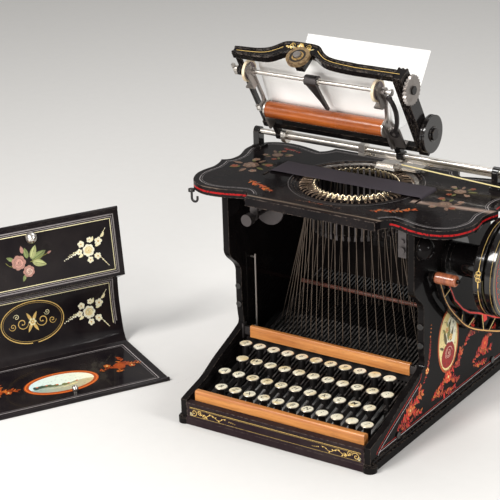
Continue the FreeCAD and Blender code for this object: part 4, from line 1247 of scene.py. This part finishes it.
rim = Painting("painting_drum_rim", "spring_drum", rim_ray)
RIM_LINE = 183.6
rim.line([(RIM_LINE, -180), (RIM_LINE, -9)], GOLD, 0.5, 0, 3.0)
rim.line([(RIM_LINE, 17), (RIM_LINE, 180)], GOLD, 0.5, 0, 3.0)
rim.line([(RIM_LINE + 14.5, -180), (RIM_LINE + 14.5, 180)], shade(GOLD, 0.6), 0.4, 0, 3.0)
for v, wide, tall in ((11.6, 2.8, 2.3), (7.6, 4.2, 2.6), (3.4, 3.0, 2.4), (9.6, 1.6, 4.6), (5.4, 1.4, 4.4)):
    rim.ring(RIM_LINE, v, wide, tall, GOLD, 0.5, 1, sides=24)
rim.petal(RIM_LINE, 13.5, math.pi / 2, 5.0, 1.2, GOLD, 1)
rim.petal(RIM_LINE, 1.2, -math.pi / 2, 9.0, 1.4, GOLD, 1)
rim.finish("spring_drum", "black_japan")
DRUM_AXIS = (DRUM_MID[1], DRUM_MID[2])
DOTS = 36
DOT_TURN = 0.087
SCROLLS = 8
SCROLL_R = 24
disc = Painting("painting_drum_face", "spring_drum", drum_face_ray)
disc.ring(*DRUM_AXIS, DRUM_R - 3, DRUM_R - 3, GOLD, 0.6, sides=96)
disc.ring(*DRUM_AXIS, DRUM_R - 9, DRUM_R - 9, RED, 0.7, sides=96)
for i in range(DOTS):
    turn = math.tau * i / DOTS
    disc.petal(*around(*DRUM_AXIS, turn, DRUM_R - 13), turn, 2.4, 1.5, shade(ORANGE, 0.6))
    disc.disc(*around(*DRUM_AXIS, turn + DOT_TURN, DRUM_R - 15.5), 0.6, 0.6, shade(GOLD, 0.7), 1, 8)
for i in range(SCROLLS):
    turn = math.tau * i / SCROLLS
    disc.scroll(*around(*DRUM_AXIS, turn, SCROLL_R), 6.0, turn, 1, shade(GOLD, 0.6), 0.7)
disc.finish("spring_drum", "black_japan")

CHORD_LOW = [(131, 183), (137.3, 173.5), (144.7, 157.7), (154.5, 143.2), (164.3, 132.3), (179.1, 118.2),
             (199, 101.5), (222.1, 88.2), (253.2, 74.4), (287.7, 60.6), (308, 55)]
CHORD_HIGH = [(134, 182.5), (146, 181), (158.7, 163.4), (171.2, 143.1), (191.1, 124.8), (208.7, 113.9),
              (229, 105.7), (255, 93.5), (273.4, 84), (306, 71.5)]
CRANK_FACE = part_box("crank_arm")[0][0] / MM + 5.0


def crank_ray(u, v):
    return Vector((CRANK_FACE + NEAR, u, v)) * MM, Vector((-1, 0, 0))


crank = Painting("painting_crank", "crank_arm", crank_ray)
crank.stroke(smooth_path(CHORD_LOW, 4), shade(ORANGE, 0.7), 1.7)
crank.stroke(smooth_path(CHORD_LOW, 4), GOLD, 1.0, 1)
crank.line(CHORD_HIGH, RED, 2.0, 0, 8.0)
for a, b in (((160, 161), (146, 156)), ((191.2, 122.3), (188, 110)), ((224, 105.1), (204, 98)),
             ((239.5, 100), (244, 79)), ((273.6, 82.7), (258.3, 73))):
    crank.line([a, b], GOLD, 1.4, 2, 5.0)
crank.shape([(241, 99.5), (251, 95.2), (252.6, 88.8), (244, 88.8)], RED, 2)
crank.ring(318, 62, 10, 10, GOLD, 0.9)
crank.finish("crank", "crank_paint")

# %% [markdown]
# The carriage's front rail is moulded, with a gold line along its hollow and a small gold
# ornament on the crest over the wheel. The carriage is tilted up, so the rays come from
# square to its front face.

# %% Carriage painting
RAIL = Vector((0.0, 242.0, 276.0))
FORWARD = Vector((0, -math.cos(LIFT), math.sin(LIFT)))
UPWARD = Vector((0, math.sin(LIFT), math.cos(LIFT)))
RAIL_FACE = 141.0


def rail_ray(u, v):
    spot = RAIL + Vector((u, 0, 0)) + FORWARD * (RAIL_FACE + NEAR) + UPWARD * v
    return spot * MM, -FORWARD


rail = Painting("painting_carriage", "carriage_frame", rail_ray, seed=8)
CREST_LINE = [(-148, -0.4), (-134, 0), (-118, 1.2), (-107, 4), (-99, 9), (-92, 14.5)]
CREST_FALL = [(-47, 15.5), (-41, 10.5), (-33, 5.5), (-22, 2.4), (-6, 0.6), (10, -0.4), (30, -0.5), (66, -0.5)]
rail.stroke(smooth_path(CREST_LINE, 5), GOLD, 0.6)
rail.stroke(smooth_path(CREST_FALL, 5), GOLD, 0.6)
rail.scroll(-82, 18.5, 3.6, 0.0, 1, GOLD, 0.8)
rail.scroll(-60, 18.5, 3.6, math.pi, -1, GOLD, 0.8)
rail.bloom(-71, 18.6, 4.4, GOLD, PALE_GOLD, ORANGE, 6, 1)
rail.spray([(-90, 17), (-84, 15), (-77, 15.5)], (GOLD, PALE_GOLD), 4.0)
rail.spray([(-52, 17), (-58, 15), (-65, 15.5)], (GOLD, PALE_GOLD), 4.0)
rail.finish("carriage", "black_japan")

# %% [markdown]
# The cover is painted on its three panels: roses and gilt bouquets inside a double frame on
# the upper one, a gilt oval ring with a scroll in it on the middle one, and on the lower one
# an oval with a plain sky and a row of little bushes. The cover stands at an angle, so its
# own axes are turned before the rays are cast: u runs along its width, v is height, or depth
# on the lower panel.

# %% Cover painting
COVER_AT = Vector((-201.0, 82.8, 0.0))
COVER_TURN = Matrix.Rotation(math.radians(60.0), 3, "Z")
UPPER_LOW = (126.5, 94.2)
UPPER_HIGH = (140.5, 178.0)
FRAME_U = (-228, -12)


def cover_way(x, y, z):
    return COVER_TURN @ Vector((x, y, z))


def cover_place(x, y, z):
    return (cover_way(x, y, z) + COVER_AT) * MM


def upper_ray(u, v):
    share = (v - UPPER_LOW[1]) / (UPPER_HIGH[1] - UPPER_LOW[1])
    depth = UPPER_LOW[0] + share * (UPPER_HIGH[0] - UPPER_LOW[0])
    return cover_place(u, depth - NEAR - 1, v), cover_way(0, 1, 0)


def middle_ray(u, v):
    return cover_place(u, 150.0 - NEAR - 1, v), cover_way(0, 1, 0)


def lower_ray(u, v):
    return cover_place(u, v, 2.0 + NEAR), cover_way(0, 0, -1)


def double_frame(p, u0, u1, v0, v1):
    lines = ((0.0, PALE_GOLD, 0.9), (-2.2, GREY_LINE, 0.7), (-4.6, shade(GREY_LINE, 0.6), 1.6))
    for step, tint, wide in lines:
        a = (u0 + step, v0 + step)
        b = (u1 - step, v1 - step)
        p.line([a, (b[0], a[1]), b, (a[0], b[1]), a], tint, wide, 0)


def gilt_bouquet(p, u, v, size, flip=1):
    """Cream and gilt flowers on black, with leaves, a tail of berries and two curved sprigs."""
    p.rose(u, v, size * 0.66, CREAM_PAINT, PALE_GOLD, GOLD, 3)
    spots = ((1.15, 0.75, 0.42), (-0.75, 0.75, 0.36), (0.95, -0.75, 0.36), (0.2, 1.05, 0.3),
             (-1.0, 0.0, 0.32), (0.1, -1.0, 0.34))
    for i, (du, dv, r) in enumerate(spots):
        p.blossom(u + flip * du * size, v + dv * size, size * r, CREAM_PAINT, PALE_GOLD, GOLD, 5, 3, 0.4 * i)
    leaves = ((0.75, 0.3, 0.3), (0.4, 0.8, 1.2), (-0.45, 0.6, 2.1), (-0.6, -0.3, 3.6),
              (0.55, -0.55, -0.5), (1.5, 1.1, 0.9))
    for du, dv, way in leaves:
        turn = way if flip > 0 else math.pi - way
        p.petal(u + flip * du * size, v + dv * size, turn, size * 0.6, size * 0.3, PALE_GOLD, 1)
    tail = []
    for i in range(8):
        drop = 0.05 + 0.07 * i + 0.06 * (i % 2)
        tail.append((u - flip * size * (1.3 + 0.2 * i), v - size * drop))
    p.berries(tail, size * 0.12, CREAM_PAINT)
    p.berries([(a + flip * 0.8, b + size * 0.2) for a, b in tail[1:6]], size * 0.09, PALE_GOLD)
    for way in (1, -1):
        sprig = [(u + flip * size * (1.2 + 0.28 * i), v + way * size * (0.85 + 0.36 * i)) for i in range(4)]
        p.stroke(smooth_path(sprig), PALE_GOLD, size * 0.07, 1, True)
        p.berries(sprig[1:], size * 0.08, CREAM_PAINT)


def rose_bunch(p, u, v, size):
    """Two dusty pink roses and a bud on the left, broad green leaves on the right."""
    dusk = shade(PINK, 0.55)
    leaves = ((0.15, 0.1, 0.45, 1.35, GREEN), (0.15, 0.0, -0.35, 1.25, PALE_GREEN),
              (0.1, 0.2, 1.15, 1.15, PALE_GREEN), (-0.2, 0.3, 1.75, 0.9, GREEN),
              (-1.3, 0.3, 2.6, 0.7, GREEN), (-0.5, -0.9, -2.0, 0.6, GREEN))
    for du, dv, way, reach, tint in leaves:
        p.leaf(u + du * size, v + dv * size, way, size * reach, size * reach * 0.45, tint, 1)
    p.rose(u - size * 0.95, v + size * 0.1, size * 0.6, dusk, shade(PINK, 0.8), shade(PINK, 0.3), 4)
    blush = shade(PALE_PINK, 0.75)
    p.rose(u - size * 0.2, v - size * 0.7, size * 0.48, dusk, blush, shade(PINK, 0.3), 4, 0.5)
    p.petal(u - size * 0.55, v + size * 0.75, 1.7, size * 0.62, size * 0.3, dusk, 3)
    stem = [(u, v), (u + size * 0.8, v + size * 0.2), (u + size * 1.6, v + size * 0.45)]
    p.stroke(smooth_path(stem), OLIVE, 0.7, 3)
    p.petal(u + size * 1.45, v + size * 0.4, 0.4, size * 0.4, size * 0.18, dusk, 4)
    twig = [(u - size, v), (u - size * 1.6, v - size * 0.1), (u - size * 2.0, v + size * 0.25)]
    p.stroke(smooth_path(twig), OLIVE, 0.6, 3)


upper = Painting("painting_cover_upper", "cover_shell", upper_ray, 0.2, seed=9, wear=0.5)
double_frame(upper, *FRAME_U, 103.5, 167.0)
rose_bunch(upper, -120, 133, 15.5)
gilt_bouquet(upper, -44, 133, 12)
gilt_bouquet(upper, -198, 133, 12, -1)
upper.finish("cover", "cover_tin")

middle = Painting("painting_cover_middle", "cover_shell", middle_ray, 0.3, seed=10, wear=0.5)
double_frame(middle, *FRAME_U, 19.0, 76.0)
CREST_U = -117
CREST_V = 47
middle.ring(CREST_U, CREST_V, 41, 26, GOLD, 1.1, sides=72)
middle.ring(CREST_U, CREST_V, 38.6, 23.8, shade(GOLD, 0.6), 0.5, sides=72)
for side in (-1, 1):
    inward = math.pi if side > 0 else 0.0
    middle.scroll(CREST_U + side * 13, CREST_V, 8, inward, side, GOLD, 1.2)
    middle.scroll(CREST_U + side * 26, 45, 5, math.pi - inward, -side, GOLD, 0.9)
    middle.scroll(CREST_U + side * 20, 56, 4, math.pi, side, PALE_GOLD, 0.8)
    middle.petal(CREST_U, CREST_V, math.pi / 2 + side * 0.5, 14, 4, GOLD)
    middle.petal(CREST_U, CREST_V, -math.pi / 2 + side * 0.5, 14, 4, GOLD)
middle.bloom(CREST_U, CREST_V, 5, PALE_GOLD, GOLD, CREAM_PAINT, 6, 2)
gilt_bouquet(middle, -42, 44, 12.5)
gilt_bouquet(middle, -196, 44, 12.5, -1)
middle.finish("cover", "cover_tin")

lower = Painting("painting_cover_lower", "cover_shell", lower_ray, 0.2, seed=11, wear=0.4)
lower.line([(-230, 10), (-10, 10), (-10, 122), (-230, 122), (-230, 10)], GREY_LINE, 1.0)
lower.line([(-227, 13), (-13, 13), (-13, 119), (-227, 119), (-227, 13)], shade(GREY_LINE, 0.5), 0.6)
OVAL = (-118.0, 56.0, 41.0, 23.0)
lower.disc(OVAL[0], OVAL[1], OVAL[2] + 6, OVAL[3] + 6, shade(RUST_PAINT, 0.7), 0, 64)
lower.ring(OVAL[0], OVAL[1], OVAL[2] + 4, OVAL[3] + 4, ORANGE, 1.0, 1, sides=64)


def ground(u):
    """Height of the wavy line where the plain ground of the oval meets its sky."""
    return OVAL[1] - 5 + 2.5 * math.sin(u * 0.12)


def between(first, second, share):
    return tuple(a + (b - a) * share for a, b in zip(first, second))


COLUMNS = 48
turns = [math.pi * i / COLUMNS for i in range(COLUMNS + 1)]
columns = [(OVAL[0] - OVAL[2] * math.cos(t), OVAL[3] * math.sin(t)) for t in turns]
for i, ((u0, h0), (u1, h1)) in enumerate(zip(columns, columns[1:])):
    share = i / COLUMNS
    sky = between(SKY, (0.93, 0.88, 0.62), share)
    land = between((0.20, 0.34, 0.34), (0.66, 0.50, 0.24), share)
    line0 = max(OVAL[1] - h0, min(ground(u0), OVAL[1] + h0))
    line1 = max(OVAL[1] - h1, min(ground(u1), OVAL[1] + h1))
    lower.shape([(u0, line0), (u1, line1), (u1, OVAL[1] + h1), (u0, OVAL[1] + h0)], sky, 3)
    lower.shape([(u0, OVAL[1] - h0), (u1, OVAL[1] - h1), (u1, line1), (u0, line0)], land, 3)
for i in range(13):
    u = OVAL[0] - 33 + 4.2 * i + lower.dice.uniform(-1, 1)
    tall = lower.dice.uniform(2.0, 6.0) * (1.0 - 0.06 * i)
    bush = between((0.03, 0.07, 0.06), OLIVE, i / 13)
    lower.disc(u, ground(u) + tall * 0.5, 2.6 + tall * 0.25, tall, bush, 4, 12)
    if i % 3 == 0:
        lower.disc(u + 2, ground(u) + tall, 1.8, 1.2, RUST_PAINT, 5, 8)
    lower.disc(u - 3, ground(u) - 5.0, 4.0, 0.8, between((0.30, 0.45, 0.45), YELLOW, i / 13), 4, 10)
for u, flip in ((-38.0, 1), (-198.0, -1)):
    faded = (shade(RUST_PAINT, 0.55), shade(ORANGE, 0.6), shade(RUST_PAINT, 0.35))
    lower.rose(u, 66, 8, shade(RUST_PAINT, 0.6), shade(ORANGE, 0.5), DARK_RED, 3)
    lower.spray([(u - 28, 62), (u - 12, 66), (u, 66), (u + 12, 68), (u + 26, 62)], faded, 13.0)
    lower.spray([(u - 8, 48), (u, 62), (u + 10, 88)], faded, 12.0)
    lower.blossom(u - 14, 72, 4.5, faded[1], faded[0], YELLOW, 5, 3)
    lower.blossom(u + 14, 60, 4.5, faded[0], faded[1], YELLOW, 5, 3)
lower.finish("cover", "cover_tin")

# %% [markdown]
# The setting is a pale floor with soft light, and a camera where the photograph was taken:
# from the machine's right front, a little above the top plate. A long lens keeps the base
# lines nearly parallel, and a small roll matches the tilt of the picture.

# %% Camera, floor and light
CAMERA_AT = Vector((1.03834, -1.57681, 0.97270))
AZIMUTH = math.radians(33.96)
ELEVATION = math.radians(21.31)
ROLL = math.radians(-1.68)
LENS = 136.3

back = Vector((
    math.sin(AZIMUTH) * math.cos(ELEVATION),
    -math.cos(AZIMUTH) * math.cos(ELEVATION),
    math.sin(ELEVATION),
))
level = Vector((math.cos(AZIMUTH), math.sin(AZIMUTH), 0.0))
upright = back.cross(level)
right = level * math.cos(ROLL) + upright * math.sin(ROLL)
up = upright * math.cos(ROLL) - level * math.sin(ROLL)
camera = put("camera", bpy.data.cameras.new("camera"))
camera.data.lens = LENS
camera.data.sensor_width = 36.0
camera.matrix_world = Matrix.Translation(CAMERA_AT) @ Matrix((right, up, back)).transposed().to_4x4()
bpy.context.scene.camera = camera


def plain_finish(name, colour, rough):
    f = Finish(name)
    grain = f.noise(60.0, 4.0)
    dark = tuple(c * 0.96 for c in colour)
    return f.set(Base_Color=f.mix(grain, colour, dark), Roughness=rough).material


FLOOR = 6.0
FLOOR_DROP = 0.0003
corners = [(-FLOOR, -FLOOR, 0), (FLOOR, -FLOOR, 0), (FLOOR, FLOOR, 0), (-FLOOR, FLOOR, 0)]
pale = plain_finish("floor", (0.74, 0.73, 0.715), 0.9)
floor = put("floor", mesh_of("floor", corners, [(0, 1, 2, 3)], smooth=False), pale)
floor.location.z = -FLOOR_DROP


def lamp(name, at, aim, size, power, colour=(1.0, 1.0, 1.0)):
    data = bpy.data.lights.new(name, "AREA")
    data.shape = "RECTANGLE"
    data.size = size[0]
    data.size_y = size[1]
    data.energy = power
    data.color = colour
    thing = put(name, data)
    thing.location = at
    thing.rotation_euler = (Vector(at) - Vector(aim)).to_track_quat("Z", "Y").to_euler()


TARGET = (0.0, 0.15, 0.15)
lamp("key_light", (-0.7, -1.5, 1.7), TARGET, (0.7, 0.7), 44.0, (1.0, 0.98, 0.95))
lamp("side_light", (1.9, 0.1, 1.1), TARGET, (0.5, 1.0), 20.0, (1.0, 0.99, 0.97))
lamp("top_light", (0.0, 1.0, 1.9), TARGET, (1.4, 0.7), 15.0)
lamp("low_light", (0.2, -2.0, 0.5), (0.0, 0.2, 0.3), (0.8, 0.4), 20.0, (1.0, 0.98, 0.96))
world = bpy.data.worlds.new("studio")
world.use_nodes = True
background = world.node_tree.nodes["Background"].inputs
background["Color"].default_value = (0.88, 0.87, 0.85, 1.0)
background["Strength"].default_value = 0.38
bpy.context.scene.world = world
bpy.context.scene.view_settings.view_transform = "Standard"
print("camera at", tuple(CAMERA_AT), "lens", LENS)
